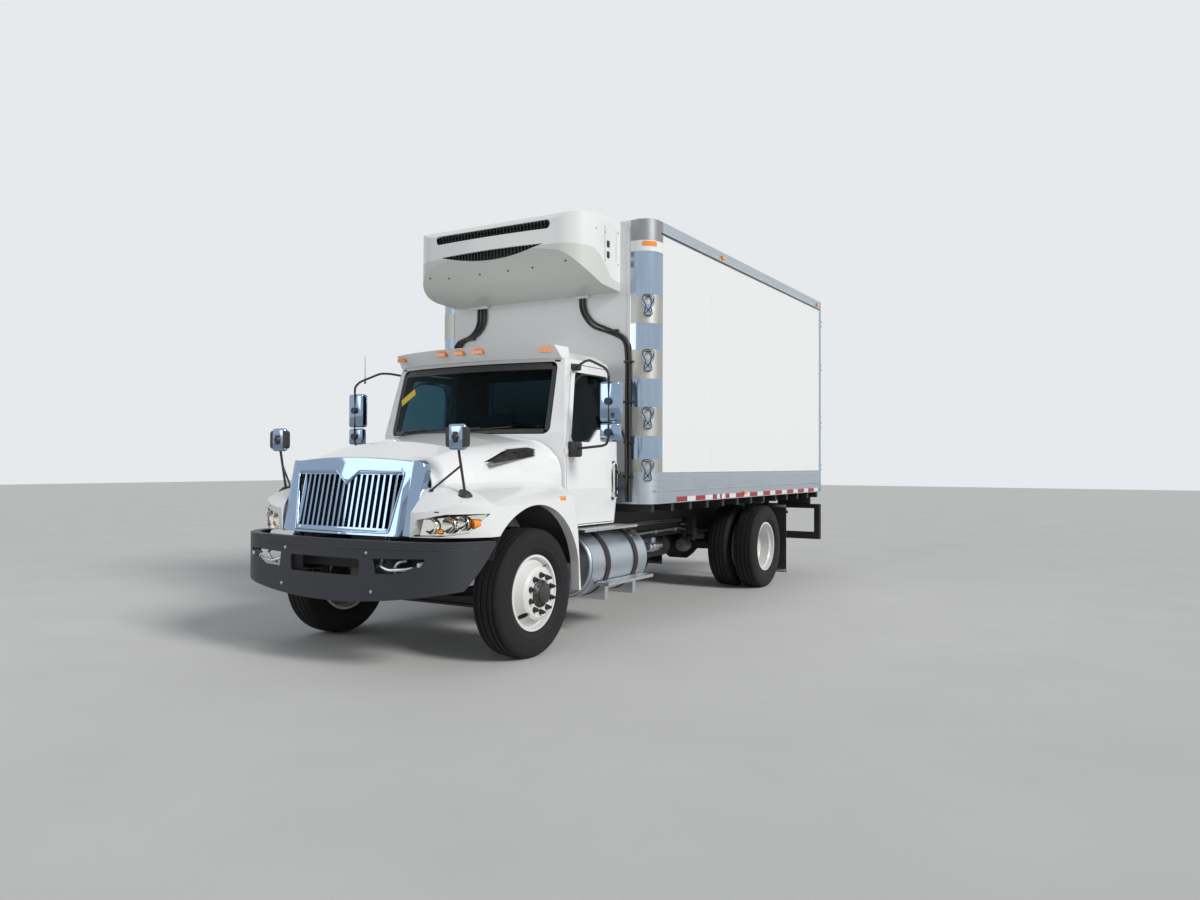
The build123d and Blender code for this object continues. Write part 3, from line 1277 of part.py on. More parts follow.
# Rails: lower side rails, the lower front rail, the upper side rails and the upper front rail
CORNER_FLAT = 60
with BuildPart() as body_rails:
    for s in (1, -1):
        x0, x1 = sorted((s * (BODY_X - TRIM), s * BODY_X))
        block(x0, x1, CORNER_Y + CORNER_FLAT, REAR_FRAME_Y, BODY_BOTTOM, BODY_BOTTOM + LOWER_RAIL_H)
        block(x0, x1, CORNER_Y + CORNER_FLAT, REAR_FRAME_Y, BODY_TOP - UPPER_RAIL_H, BODY_TOP)
        x2, x3 = sorted((s * (BODY_X - 60), s * BODY_X))
        block(x2, x3, CORNER_Y + CORNER_FLAT, REAR_FRAME_Y, BODY_TOP - TRIM, BODY_TOP)
lower_front = corner_band(0, -TRIM, CORNER_FLAT, BODY_BOTTOM, BODY_BOTTOM + LOWER_RAIL_H, whole=True)
upper_front = corner_band(0, -TRIM, CORNER_FLAT, BODY_TOP - CAP_H, BODY_TOP)
save(Compound(children=[body_rails.part, lower_front]), "body_rails")

# Corner posts: bright rolled covers with a cast cap on top
post_skin = corner_band(0, -TRIM, CORNER_FLAT, BODY_BOTTOM + LOWER_RAIL_H, BODY_TOP - CAP_H)

# Rear frame: two posts, a header and a sill round the door opening
OPENING_X = INSIDE_X
OPENING_TOP = WALL_TOP
hinge_heights = (1480, 2080, 2900, 3520)
with BuildPart() as rear_sill:
    block(-BODY_X, BODY_X, REAR_FRAME_Y, BODY_REAR_Y, BODY_BOTTOM, FLOOR_TOP)
with BuildPart() as rear_header:
    block(-BODY_X, BODY_X, REAR_FRAME_Y, BODY_REAR_Y, OPENING_TOP, BODY_TOP)
with BuildPart() as rear_post:
    block(OPENING_X, BODY_X, REAR_FRAME_Y, BODY_REAR_Y, FLOOR_TOP + SEAT, OPENING_TOP - SEAT)
    for z in hinge_heights:
        for lift in (-44, 26):
            block(DOOR_PIN_X - 40, DOOR_PIN_X + 12, BODY_REAR_Y, BODY_REAR_Y + DOOR_PIN_STANDOFF,
                  z + lift, z + lift + 18)
            with Locations((DOOR_PIN_X, BODY_REAR_Y + DOOR_PIN_STANDOFF, z + lift + 9)):
                Cylinder(12, 18)
        with Locations((DOOR_PIN_X, BODY_REAR_Y + DOOR_PIN_STANDOFF, z)):
            Cylinder(DOOR_PIN_R, 88)
rear_bars = [rear_sill.part, rear_header.part, rear_post.part, mirrored(rear_post.part)]
save(Compound(children=rear_bars), "rear_frame")


# Rear doors: an insulated slab, strap hinges that reach the pins and a lock rod
def cargo_door():
    low = FLOOR_TOP + DOOR_GAP
    high = OPENING_TOP - DOOR_GAP
    outer = OPENING_X - DOOR_GAP
    with BuildPart() as door:
        block(CARGO_DOOR_MEET, outer, BODY_REAR_Y - CARGO_DOOR_THICK, BODY_REAR_Y, low, high)
        for z in hinge_heights:
            block(900, DOOR_PIN_X, BODY_REAR_Y + 3, BODY_REAR_Y + 12, z - 20, z + 20)
            block(900, outer - 4, BODY_REAR_Y, BODY_REAR_Y + 4, z - 20, z + 20)
            block(DOOR_PIN_X - 9, DOOR_PIN_X + 9, BODY_REAR_Y + 8, BODY_REAR_Y + DOOR_PIN_STANDOFF,
                  z - 20, z + 20)
            with Locations((DOOR_PIN_X, BODY_REAR_Y + DOOR_PIN_STANDOFF, z)):
                Cylinder(14, 40)
        for z in hinge_heights:
            with Locations((DOOR_PIN_X, BODY_REAR_Y + DOOR_PIN_STANDOFF, z)):
                Cylinder(DOOR_PIN_R + SEAT, 60, mode=Mode.SUBTRACT)
        with Locations((250, BODY_REAR_Y + 22, (low + high) / 2)):
            Cylinder(13, high - low - 20)
        for z in (1420, 2000, 2700, 3400):
            block(215, 285, BODY_REAR_Y, BODY_REAR_Y + 22, z - 25, z + 25)
    return door.part


left_cargo_door = cargo_door()
save(left_cargo_door, "cargo_door_left")
save(mirrored(left_cargo_door), "cargo_door_right")

# Body sills: two long sills on the frame and the floor bearers across them
BEARERS = 13
BEARER_W = 60
sill_front = BODY_FRONT_Y + 60
sill_rear = BODY_REAR_Y - 60
bearer_pitch = (sill_rear - sill_front - BEARER_W) / (BEARERS - 1)
with BuildPart() as long_sill:
    block(SILL_X - SILL_W / 2, SILL_X + SILL_W / 2, sill_front, sill_rear, FRAME_TOP,
          BODY_BOTTOM - BEARER_H - SEAT)
sill_parts = [long_sill.part, mirrored(long_sill.part)]
for place in range(BEARERS):
    y = sill_front + place * bearer_pitch
    with BuildPart() as bearer:
        block(-BODY_X + 30, BODY_X - 30, y, y + BEARER_W, BODY_BOTTOM - BEARER_H, BODY_BOTTOM)
    sill_parts.append(bearer.part)
save(Compound(children=sill_parts), "body_sills")

# Refrigeration unit: plan and side view intersected, split at a curved seam
with BuildPart() as unit:
    with BuildSketch(level(UNIT_BOTTOM - 60)):
        with BuildLine():
            wall_y = BODY_FRONT_Y + TRIM - SEAT
            front_corner_y = UNIT_FRONT_Y + 70
            Line((-UNIT_X, wall_y), (UNIT_X, wall_y))
            for s in (1, -1):
                Line((s * UNIT_X, wall_y), (s * UNIT_X, UNIT_FRONT_Y + 330))
                ThreePointArc((s * UNIT_X, UNIT_FRONT_Y + 330), (s * (UNIT_X - 75), UNIT_FRONT_Y + 130),
                              (s * (UNIT_X - 260), front_corner_y - 35))
            ThreePointArc((-(UNIT_X - 260), front_corner_y - 35), (0, UNIT_FRONT_Y),
                          (UNIT_X - 260, front_corner_y - 35))
        make_face()
    extrude(amount=800)
    with BuildSketch(along(-UNIT_X - 10)):
        with BuildLine():
            back = BODY_FRONT_Y + 10
            Line((back, UNIT_BOTTOM), (back, UNIT_TOP))
            ThreePointArc((back, UNIT_TOP), (UNIT_FRONT_Y + 330, UNIT_TOP - 3), (UNIT_FRONT_Y + 80, UNIT_TOP - 28))
            ThreePointArc((UNIT_FRONT_Y + 80, UNIT_TOP - 28), (UNIT_FRONT_Y + 16, UNIT_TOP - 110),
                          (UNIT_FRONT_Y, UNIT_TOP - 290))
            ThreePointArc((UNIT_FRONT_Y, UNIT_TOP - 290), (UNIT_FRONT_Y + 80, UNIT_TOP - 440),
                          (UNIT_FRONT_Y + 420, UNIT_BOTTOM + 20))
            Line((UNIT_FRONT_Y + 420, UNIT_BOTTOM + 20), (back, UNIT_BOTTOM))
        make_face()
    extrude(amount=2 * UNIT_X + 20, mode=Mode.INTERSECT)


def below_seam(lift):
    with BuildSketch(along(-UNIT_X - 50)) as view:
        with BuildLine():
            start = (UNIT_FRONT_Y - 100, UNIT_TOP - 300 + lift)
            knee = (UNIT_FRONT_Y + 250, UNIT_TOP - 330 + lift)
            low = (UNIT_FRONT_Y + 560, UNIT_BOTTOM + 105 + lift)
            Line(start, knee)
            ThreePointArc(knee, (UNIT_FRONT_Y + 430, UNIT_BOTTOM + 235 + lift), low)
            Polyline(low, (BODY_FRONT_Y + 10, UNIT_BOTTOM + 80 + lift), (BODY_FRONT_Y + 10, UNIT_BOTTOM - 100),
                     (UNIT_FRONT_Y - 100, UNIT_BOTTOM - 100), start)
        make_face()
    return view.sketch


def lower_louvre():
    """Lens-shaped air slot along the seam."""
    with BuildSketch(across(UNIT_FRONT_Y - 100)) as view:
        with BuildLine():
            ThreePointArc((-600, UNIT_TOP - 298), (0, UNIT_TOP - 292), (600, UNIT_TOP - 298))
            ThreePointArc((600, UNIT_TOP - 298), (0, UNIT_TOP - 378), (-600, UNIT_TOP - 298))
        make_face()
    return view.sketch


with BuildPart() as unit_shell:
    add(unit.part)
    extrude(below_seam(SEAT), amount=2 * UNIT_X + 100, mode=Mode.SUBTRACT)
    with BuildSketch(across(UNIT_FRONT_Y - 100)):
        with Locations((0, UNIT_TOP - 125)):
            SlotOverall(1340, 84)
    extrude(amount=-330, mode=Mode.SUBTRACT)
    extrude(lower_louvre(), amount=-260, mode=Mode.SUBTRACT)
with BuildPart() as evaporator:
    block(-700, 700, FRONT_INNER_Y + SEAT, FRONT_INNER_Y + 360, 3330, WALL_TOP - 20)
    chamfer(evaporator.edges().filter_by(Axis.X).group_by(Axis.Z)[0].sort_by(Axis.Y)[-1], 150)
with BuildPart() as unit_on_wall:
    with Locations((UNIT_MID_X, 0, 0)):
        add(unit_shell.part)
save(Compound(children=[unit_on_wall.part, evaporator.part]), "reefer_unit")

with BuildPart() as unit_cover:
    add(unit.part)
    extrude(below_seam(0), amount=2 * UNIT_X + 100, mode=Mode.INTERSECT)
    extrude(lower_louvre(), amount=-260, mode=Mode.SUBTRACT)
with BuildPart() as cover_on_wall:
    with Locations((UNIT_MID_X, 0, 0)):
        add(unit_cover.part)
save(cover_on_wall.part, "reefer_cover")

# Hoses from the unit down the front wall
HOSE_D = 28
hose_y = BODY_FRONT_Y - HOSE_D / 2 - SEAT
hoses = []
for shift in (0, 1):
    hoses.append(tube([
        (520 + 44 * shift, hose_y, UNIT_BOTTOM - SEAT), (525 + 44 * shift, hose_y, 3000),
        (640 + 30 * shift, hose_y, 2840 + 34 * shift),
        (860, hose_y, 2765 + 32 * shift), (1020 + 32 * shift, hose_y, 2690 + 10 * shift),
        (1040 + 32 * shift, hose_y, 2480), (1036 + 32 * shift, hose_y, 2100),
        (1040 + 32 * shift, hose_y, 1720), (1036 + 32 * shift, hose_y, 1400),
        (1040 + 32 * shift, hose_y, 1160),
    ], HOSE_D))
for shift in (0, 1, 2):
    hoses.append(tube([
        (-640 - 46 * shift, hose_y, UNIT_BOTTOM - SEAT), (-644 - 46 * shift, hose_y, 2960),
        (-740 - 40 * shift, hose_y, 2850), (-960 - 36 * shift, hose_y, 2790),
        (-1000 - 36 * shift, hose_y, 2640), (-1004 - 36 * shift, hose_y, 2300),
        (-1000 - 36 * shift, hose_y, 1900), (-1004 - 36 * shift, hose_y, 1500),
        (-1000 - 36 * shift, hose_y, 1160),
    ], HOSE_D))
save(Compound(children=hoses), "reefer_hoses")


# Fuel tank with domed ends, its straps and brackets, and the steps
with BuildPart() as fuel_tank:
    with Locations((TANK_X, TANK_FRONT_Y + TANK_LENGTH / 2, TANK_Z)):
        Cylinder(TANK_R, TANK_LENGTH, rotation=(90, 0, 0))
    fillet(fuel_tank.edges().filter_by(GeomType.CIRCLE), 40)
save(fuel_tank.part, "fuel_tank")

strap_stations = (TANK_FRONT_Y + 250, TANK_FRONT_Y + 760)
with BuildPart() as tank_brackets:
    for y in strap_stations:
        with BuildSketch(across(y)):
            with Locations((TANK_X, TANK_Z)):
                Circle(TANK_R + SEAT + STRAP_THICK)
                Circle(TANK_R + SEAT, mode=Mode.SUBTRACT)
            with BuildLine():
                Polyline((RAIL_X, FRAME_TOP - 30), (TANK_X - 150, TANK_Z + 240), (TANK_X - 150, TANK_Z - 240),
                         (RAIL_X, FRAME_BOTTOM + 10), close=True)
            make_face()
            with Locations((TANK_X, TANK_Z)):
                Circle(TANK_R + SEAT, mode=Mode.SUBTRACT)
        extrude(amount=-STRAP_WIDTH)

# Tow eyes: level lugs outside the front of the rails, for an upright pin
TOW_EYE_Y = RAIL_FRONT_Y + 55
with BuildPart() as tow_eye:
    block(RAIL_X, RAIL_X + 14, TOW_EYE_Y - 36, TOW_EYE_Y + 110, TOW_EYE_Z - 45, TOW_EYE_Z + 45)
    with BuildSketch(level(TOW_EYE_Z - TOW_EYE_THICK / 2)):
        with BuildLine():
            Polyline((RAIL_X, TOW_EYE_Y - 36), (TOW_EYE_X, TOW_EYE_Y - 36), (TOW_EYE_X, TOW_EYE_Y + 36),
                     (RAIL_X, TOW_EYE_Y + 100), close=True)
        make_face()
        with Locations((TOW_EYE_X, TOW_EYE_Y)):
            Circle(36)
            Circle(TOW_EYE_R, mode=Mode.SUBTRACT)
    extrude(amount=TOW_EYE_THICK)
small_brackets = [tank_brackets.part, tow_eye.part, mirrored(tow_eye.part)]
save(Compound(children=hangers + cab_mounts + small_brackets), "frame_brackets")

STRAP_R = TANK_R + SEAT + STRAP_THICK
with BuildPart() as steps:
    block(640, 1120, FRONT_AXLE_Y + 760, FRONT_AXLE_Y + 1700, TANK_Z + TANK_R + 12, TANK_Z + TANK_R + 34)
    block(1040, 1215, FRONT_AXLE_Y + 1000, FRONT_AXLE_Y + 1840, STEP_LOW_Z, STEP_LOW_Z + 28)
    for y in strap_stations:
        block(700, 780, y + 5, y + STRAP_WIDTH - 5, TANK_Z + 260, TANK_Z + TANK_R + 14)
        block(700, 1100, y + 5, y + STRAP_WIDTH - 5, TANK_Z - TANK_R - 30, STEP_LOW_Z + 6)
    with Locations((TANK_X, TANK_FRONT_Y + TANK_LENGTH / 2, TANK_Z)):
        Cylinder(STRAP_R + SEAT, TANK_LENGTH + 400, rotation=(90, 0, 0), mode=Mode.SUBTRACT)
save(steps.part, "cab_steps")

# Aftertreatment and battery box on the right side, with steps in its face
with BuildPart() as side_box:
    block(-1110, -RAIL_X - 30, FRONT_AXLE_Y + 780, FRONT_AXLE_Y + 1720, 430, 930)
    for z in (430, 650):
        block(-1190, -1110, FRONT_AXLE_Y + 800, FRONT_AXLE_Y + 1500, z, z + 30)
    block(-RAIL_X - 30, -RAIL_X, FRONT_AXLE_Y + 900, FRONT_AXLE_Y + 1600, FRAME_BOTTOM + 20, FRAME_TOP - 20)
save(side_box.part, "aftertreatment_box")

# Air tanks under the frame
with BuildPart() as air_tank:
    with Locations((300, FRONT_AXLE_Y + 3500, FRAME_BOTTOM - 128)):
        Cylinder(120, 620, rotation=(90, 0, 0))
    fillet(air_tank.edges().filter_by(GeomType.CIRCLE), 30)
    for y in (FRONT_AXLE_Y + 3300, FRONT_AXLE_Y + 3660):
        block(270, 400, y, y + 40, FRAME_BOTTOM - 60, FRAME_BOTTOM)
save(pair(air_tank.part), "air_tanks")

# Rear guard: two bars, end posts and hangers to the frame
with BuildPart() as rear_guard:
    guard_y = RAIL_REAR_Y + SEAT
    guard_depth = BODY_REAR_Y + 40 - guard_y
    for z, h in ((465, 100), (900, 60)):
        block(-1285, 1285, guard_y, guard_y + guard_depth, z, z + h)
    for s in (1, -1):
        x0, x1 = sorted((s * 1205, s * 1285))
        block(x0, x1, guard_y, guard_y + guard_depth, 465, 960)
        x0, x1 = sorted((s * 440, s * 520))
        block(x0, x1, guard_y, guard_y + guard_depth, 465, BODY_BOTTOM - SEAT)
save(rear_guard.part, "rear_guard")

# Mudflaps on their hanger bars
mudflaps = []
for s in (1, -1):
    with BuildPart() as mudflap:
        x0, x1 = sorted((s * 620, s * 1200))
        block(x0, x1, REAR_AXLE_Y + 730, REAR_AXLE_Y + 740, 110, 1000)
        x0, x1 = sorted((s * RAIL_X, s * 1210))
        block(x0, x1, REAR_AXLE_Y + 740, REAR_AXLE_Y + 775, 880, 915)
    mudflaps.append(mudflap.part)
save(Compound(children=mudflaps), "mudflaps")

# Folding steps on the left front corner
steps_list = []
for z in (1490, 1980, 2520, 3040):
    with BuildPart() as fold_step:
        centre = (CORNER_X + CORNER_R * cos(radians(-50)), CORNER_Y + CORNER_R * sin(radians(-50)), z)
        out = (cos(radians(-50)), sin(radians(-50)), 0)
        with BuildSketch(Plane(origin=centre, x_dir=(cos(radians(40)), sin(radians(40)), 0), z_dir=out)):
            Circle(62)
            with Locations((0, -80)):
                Rectangle(60, 110)
            with Locations((0, 10)):
                Circle(36, mode=Mode.SUBTRACT)
        extrude(amount=18)
    steps_list.append(fold_step.part)
save(Compound(children=[post_skin, upper_front] + steps_list), "corner_posts")

# Marker lamps on the visor, the body's rails and the rear frame
lamps = []
for x, y, z in (
    (0, FRONT_AXLE_Y + 424, 2490), (205, FRONT_AXLE_Y + 432, 2490), (-205, FRONT_AXLE_Y + 432, 2490),
    (814, FRONT_AXLE_Y + 580, 2486), (-814, FRONT_AXLE_Y + 580, 2486),
):
    with BuildPart() as lamp:
        block(x - 45, x + 45, y - 20, y + 60, z - 16, z + 16)
        add(visor.part, mode=Mode.SUBTRACT)
        add(cab_outer, mode=Mode.SUBTRACT)
    lamps.append(lamp.part.solids().sort_by(Axis.Y)[0])
for s in (1, -1):
    for y, z in ((FRONT_AXLE_Y + 3310, BODY_TOP - 60), (FRONT_AXLE_Y + 3950, BODY_BOTTOM + 60),
                 (BODY_REAR_Y - 160, BODY_TOP - 60)):
        with BuildPart() as lamp:
            x0, x1 = sorted((s * (BODY_X + SEAT), s * (BODY_X + 16)))
            block(x0, x1, y - 40, y + 40, z - 18, z + 18)
        lamps.append(lamp.part)
save(Compound(children=lamps), "marker_lamps")
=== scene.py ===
# %% [markdown]
# # A refrigerated box truck, dressed
# The solids of the truck come ready made from the drawing office: axles, cab, hood, insulated
# body. This script gives every one of them a painted, moulded or polished surface, and adds the
# small things that such a truck carries, such as nuts, seals, rivets, lamps and seats. Metres
# throughout: the truck faces -Y, its left side is +X and the ground is at Z = 0.

# %% Load the truck and keep its box
import json
from math import cos, pi, radians, sin

import bmesh
import bpy
from mathutils import Matrix, Vector
from mathutils.bvhtree import BVHTree


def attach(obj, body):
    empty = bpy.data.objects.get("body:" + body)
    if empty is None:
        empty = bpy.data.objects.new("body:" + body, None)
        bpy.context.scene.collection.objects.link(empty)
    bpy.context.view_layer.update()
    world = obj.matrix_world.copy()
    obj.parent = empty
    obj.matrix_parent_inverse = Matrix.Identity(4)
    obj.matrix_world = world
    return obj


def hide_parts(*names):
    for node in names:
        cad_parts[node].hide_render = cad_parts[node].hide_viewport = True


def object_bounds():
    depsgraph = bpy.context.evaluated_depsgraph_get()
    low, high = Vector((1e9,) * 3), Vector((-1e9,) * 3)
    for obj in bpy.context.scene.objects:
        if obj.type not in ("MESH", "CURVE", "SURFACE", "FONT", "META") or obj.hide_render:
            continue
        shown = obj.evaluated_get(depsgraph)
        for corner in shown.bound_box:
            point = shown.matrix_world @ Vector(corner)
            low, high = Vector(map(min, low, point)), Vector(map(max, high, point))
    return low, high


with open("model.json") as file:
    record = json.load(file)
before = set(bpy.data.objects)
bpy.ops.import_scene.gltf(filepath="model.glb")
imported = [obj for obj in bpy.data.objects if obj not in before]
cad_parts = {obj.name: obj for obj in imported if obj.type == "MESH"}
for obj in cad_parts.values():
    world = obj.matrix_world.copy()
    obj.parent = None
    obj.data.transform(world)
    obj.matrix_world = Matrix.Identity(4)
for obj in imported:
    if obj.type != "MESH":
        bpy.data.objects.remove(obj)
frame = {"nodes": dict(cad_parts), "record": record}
cad_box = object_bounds()
nodes = frame["nodes"]
FRONT_AXLE = -2.882
REAR_AXLE = FRONT_AXLE + 4.902
HUB_Z = 0.505
REAR_FACE = 6.82  # the body's rear, in metres behind the front axle
print("solids loaded:", len(nodes))


def at(y):
    """Y in the truck's frame of a place given as metres behind the front axle."""
    return FRONT_AXLE + y


# %% [markdown]
# ## Camera and light
# The camera stands at the truck's front left corner at eye height, where the picture was taken
# from, with a fairly wide lens. A broad sun lamp on the truck's left lights the whole truck
# evenly, which area lamps would not. One weak area lamp in front gives the nose its highlights.

# %% Camera
CAMERA_PLACE = Vector((5.216, -8.737, 1.511))
LOOK_ALONG = Vector((-0.5126, 0.8585, 0.0158))
CAMERA_ROLL = 0.004
camera_data = bpy.data.cameras.new("street_camera")
camera_data.lens = 27.28
camera_data.sensor_width = 36.0
camera_data.clip_end = 200.0
camera = bpy.data.objects.new("street_camera", camera_data)
turn = LOOK_ALONG.to_track_quat("-Z", "Y").to_matrix().to_4x4()
camera.matrix_world = Matrix.Translation(CAMERA_PLACE) @ turn @ Matrix.Rotation(CAMERA_ROLL, 4, "Z")
bpy.context.collection.objects.link(camera)
bpy.context.scene.camera = camera


# %% Lamps
def soft_lamp(name, place, aim, size, watts):
    lamp_data = bpy.data.lights.new(name, "AREA")
    lamp_data.shape = "DISK"
    lamp_data.size = size
    lamp_data.energy = watts
    lamp = bpy.data.objects.new(name, lamp_data)
    heading = (Vector(aim) - Vector(place)).to_track_quat("-Z", "Y")
    lamp.matrix_world = Matrix.Translation(place) @ heading.to_matrix().to_4x4()
    bpy.context.collection.objects.link(lamp)


soft_lamp("front_lamp", (-5.5, -11.0, 5.0), (0.0, -2.0, 1.4), 5.0, 110)
key_data = bpy.data.lights.new("broad_sun", "SUN")
key_data.energy = 2.35
key_data.angle = radians(16)
key_data.color = (1.0, 0.985, 0.96)
key = bpy.data.objects.new("broad_sun", key_data)
key.matrix_world = Vector((-0.84, 0.12, -0.53)).to_track_quat("-Z", "Y").to_matrix().to_4x4()
bpy.context.collection.objects.link(key)

# %% World: even cool light, with a near white background where rays end without a hit
world = bpy.data.worlds.new("studio_world")
bpy.context.scene.world = world
world.use_nodes = True
sky_tree = world.node_tree
sky_tree.nodes.clear()
sky_out = sky_tree.nodes.new("ShaderNodeOutputWorld")
sky_mix = sky_tree.nodes.new("ShaderNodeMixShader")
sky_light = sky_tree.nodes.new("ShaderNodeBackground")
sky_light.inputs["Color"].default_value = (0.86, 0.9, 0.96, 1)
sky_light.inputs["Strength"].default_value = 0.36
sky_seen = sky_tree.nodes.new("ShaderNodeBackground")
sky_seen.inputs["Color"].default_value = (0.8, 0.82, 0.84, 1)
ray = sky_tree.nodes.new("ShaderNodeLightPath")
either, any_of = sky_tree.nodes.new("ShaderNodeMath"), sky_tree.nodes.new("ShaderNodeMath")
either.operation = any_of.operation = "MAXIMUM"
for start, end in ((ray.outputs["Is Glossy Ray"], either.inputs[0]),
                   (ray.outputs["Is Transmission Ray"], either.inputs[1]),
                   (either.outputs[0], any_of.inputs[0]), (ray.outputs["Is Camera Ray"], any_of.inputs[1]),
                   (any_of.outputs[0], sky_mix.inputs["Fac"]), (sky_light.outputs[0], sky_mix.inputs[1]),
                   (sky_seen.outputs[0], sky_mix.inputs[2]), (sky_mix.outputs[0], sky_out.inputs["Surface"])):
    sky_tree.links.new(start, end)
bpy.context.scene.view_settings.view_transform = "Standard"
print("camera, lamps and world ready")

# %% [markdown]
# ## Node groups that several finishes share
# Road dirt and brushed grain turn up on many parts, so each is a group that is built once. A
# group puts out only colours and numbers; the shader itself stays in the material.


# %% Group helper
def new_group(name, inputs, outputs):
    """Shader node group with named float, colour and vector sockets, and its two end nodes."""
    tree = bpy.data.node_groups.new(name, "ShaderNodeTree")
    kinds = {"f": "NodeSocketFloat", "c": "NodeSocketColor", "v": "NodeSocketVector"}
    for label, kind, start in inputs:
        socket = tree.interface.new_socket(label, in_out="INPUT", socket_type=kinds[kind])
        if start is not None:
            socket.default_value = start
    for label, kind in outputs:
        tree.interface.new_socket(label, in_out="OUTPUT", socket_type=kinds[kind])
    return tree, tree.nodes.new("NodeGroupInput"), tree.nodes.new("NodeGroupOutput")


def math(tree, operation, first, second=None, third=None, clamp=False):
    """Math node whose inputs are sockets or numbers; gives its output socket."""
    node = tree.nodes.new("ShaderNodeMath")
    node.operation = operation
    node.use_clamp = clamp
    for place, value in enumerate((first, second, third)):
        if value is None:
            continue
        if isinstance(value, (int, float)):
            node.inputs[place].default_value = value
        else:
            tree.links.new(value, node.inputs[place])
    return node.outputs[0]


def blend_colour(tree, mask, low, high):
    """Mix of two colours by a mask; each is a socket or a plain value."""
    node = tree.nodes.new("ShaderNodeMix")
    node.data_type = "RGBA"
    for socket, value in ((node.inputs["Factor"], mask), (node.inputs[6], low), (node.inputs[7], high)):
        if isinstance(value, (tuple, float, int)):
            socket.default_value = value
        else:
            tree.links.new(value, socket)
    return node.outputs[2]


def noise(tree, vector, scale, detail, roughness):
    """Noise texture read at a vector; gives its value."""
    node = tree.nodes.new("ShaderNodeTexNoise")
    node.inputs["Scale"].default_value = scale
    node.inputs["Detail"].default_value = detail
    node.inputs["Roughness"].default_value = roughness
    tree.links.new(vector, node.inputs["Vector"])
    return node.outputs[0]


# %% Road dirt: a film that thickens towards the ground, with a slow change of tone
dirt, dirt_in, dirt_out = new_group(
    "road_dirt",
    [("Position", "v", None), ("Paint", "c", (0.8, 0.8, 0.8, 1)), ("Dirt", "c", (0.3, 0.27, 0.23, 1)),
     ("Amount", "f", 0.3), ("Clean Height", "f", 1.3), ("Roughness", "f", 0.4)],
    [("Color", "c"), ("Roughness", "f"), ("Height", "f")],
)
split = dirt.nodes.new("ShaderNodeSeparateXYZ")
dirt.links.new(dirt_in.outputs["Position"], split.inputs[0])
height_part = math(dirt, "DIVIDE", split.outputs["Z"], dirt_in.outputs["Clean Height"])
low = math(dirt, "SUBTRACT", 1.0, height_part, clamp=True)
patches = noise(dirt, dirt_in.outputs["Position"], 3.2, 5.0, 0.62)
specks = noise(dirt, dirt_in.outputs["Position"], 46.0, 4.0, 0.7)
film = math(dirt, "ADD", math(dirt, "MULTIPLY", low, 0.75), 0.1)
film = math(dirt, "MULTIPLY", film, math(dirt, "MULTIPLY", patches, 1.5))
film = math(dirt, "ADD", film, math(dirt, "MULTIPLY", math(dirt, "SUBTRACT", specks, 0.6, clamp=True), 0.8))
mask = math(dirt, "MULTIPLY", film, dirt_in.outputs["Amount"], clamp=True)
dirt.links.new(blend_colour(dirt, mask, dirt_in.outputs["Paint"], dirt_in.outputs["Dirt"]),
               dirt_out.inputs["Color"])
dirt.links.new(math(dirt, "ADD", dirt_in.outputs["Roughness"], math(dirt, "MULTIPLY", mask, 0.5), clamp=True),
               dirt_out.inputs["Roughness"])
dirt.links.new(math(dirt, "ADD", math(dirt, "MULTIPLY", patches, 0.6), math(dirt, "MULTIPLY", specks, 0.25)),
               dirt_out.inputs["Height"])

# %% Brushed grain: noise drawn out along one direction
grain, grain_in, grain_out = new_group(
    "brushed_grain",
    [("Position", "v", None), ("Stretch", "v", (4.0, 90.0, 90.0)), ("Metal", "c", (0.7, 0.7, 0.7, 1)),
     ("Depth", "f", 0.2), ("Roughness", "f", 0.3)],
    [("Color", "c"), ("Roughness", "f"), ("Height", "f")],
)
drawn = grain.nodes.new("ShaderNodeVectorMath")
drawn.operation = "MULTIPLY"
grain.links.new(grain_in.outputs["Position"], drawn.inputs[0])
grain.links.new(grain_in.outputs["Stretch"], drawn.inputs[1])
streaks = noise(grain, drawn.outputs[0], 1.0, 4.0, 0.6)
stains = noise(grain, grain_in.outputs["Position"], 5.0, 3.0, 0.6)
shade = math(grain, "MULTIPLY", math(grain, "SUBTRACT", streaks, 0.5), grain_in.outputs["Depth"])
shade = math(grain, "ADD", shade, math(grain, "MULTIPLY", math(grain, "SUBTRACT", stains, 0.5), 0.16))
tint = grain.nodes.new("ShaderNodeHueSaturation")
grain.links.new(math(grain, "ADD", shade, 1.0), tint.inputs["Value"])
grain.links.new(grain_in.outputs["Metal"], tint.inputs["Color"])
grain.links.new(tint.outputs[0], grain_out.inputs["Color"])
grain.links.new(math(grain, "ADD", grain_in.outputs["Roughness"], math(grain, "MULTIPLY", shade, 0.6), clamp=True),
                grain_out.inputs["Roughness"])
grain.links.new(streaks, grain_out.inputs["Height"])


# %% [markdown]
# ## Finishes
# Every finish starts as a Principled shader. A painted or moulded finish reads its colour and
# roughness from the dirt group, a bare metal one from the grain group, and a shallow bump keeps
# reflections from being perfectly straight, as on real sheet.


# %% Painted, moulded and metal finishes
def start_material(name):
    """New material, its tree, its shader and a socket that gives places on the object."""
    material = bpy.data.materials.new(name)
    material.use_nodes = True
    tree = material.node_tree
    shader = tree.nodes["Principled BSDF"]
    place = tree.nodes.new("ShaderNodeTexCoord").outputs["Object"]
    return material, tree, shader, place


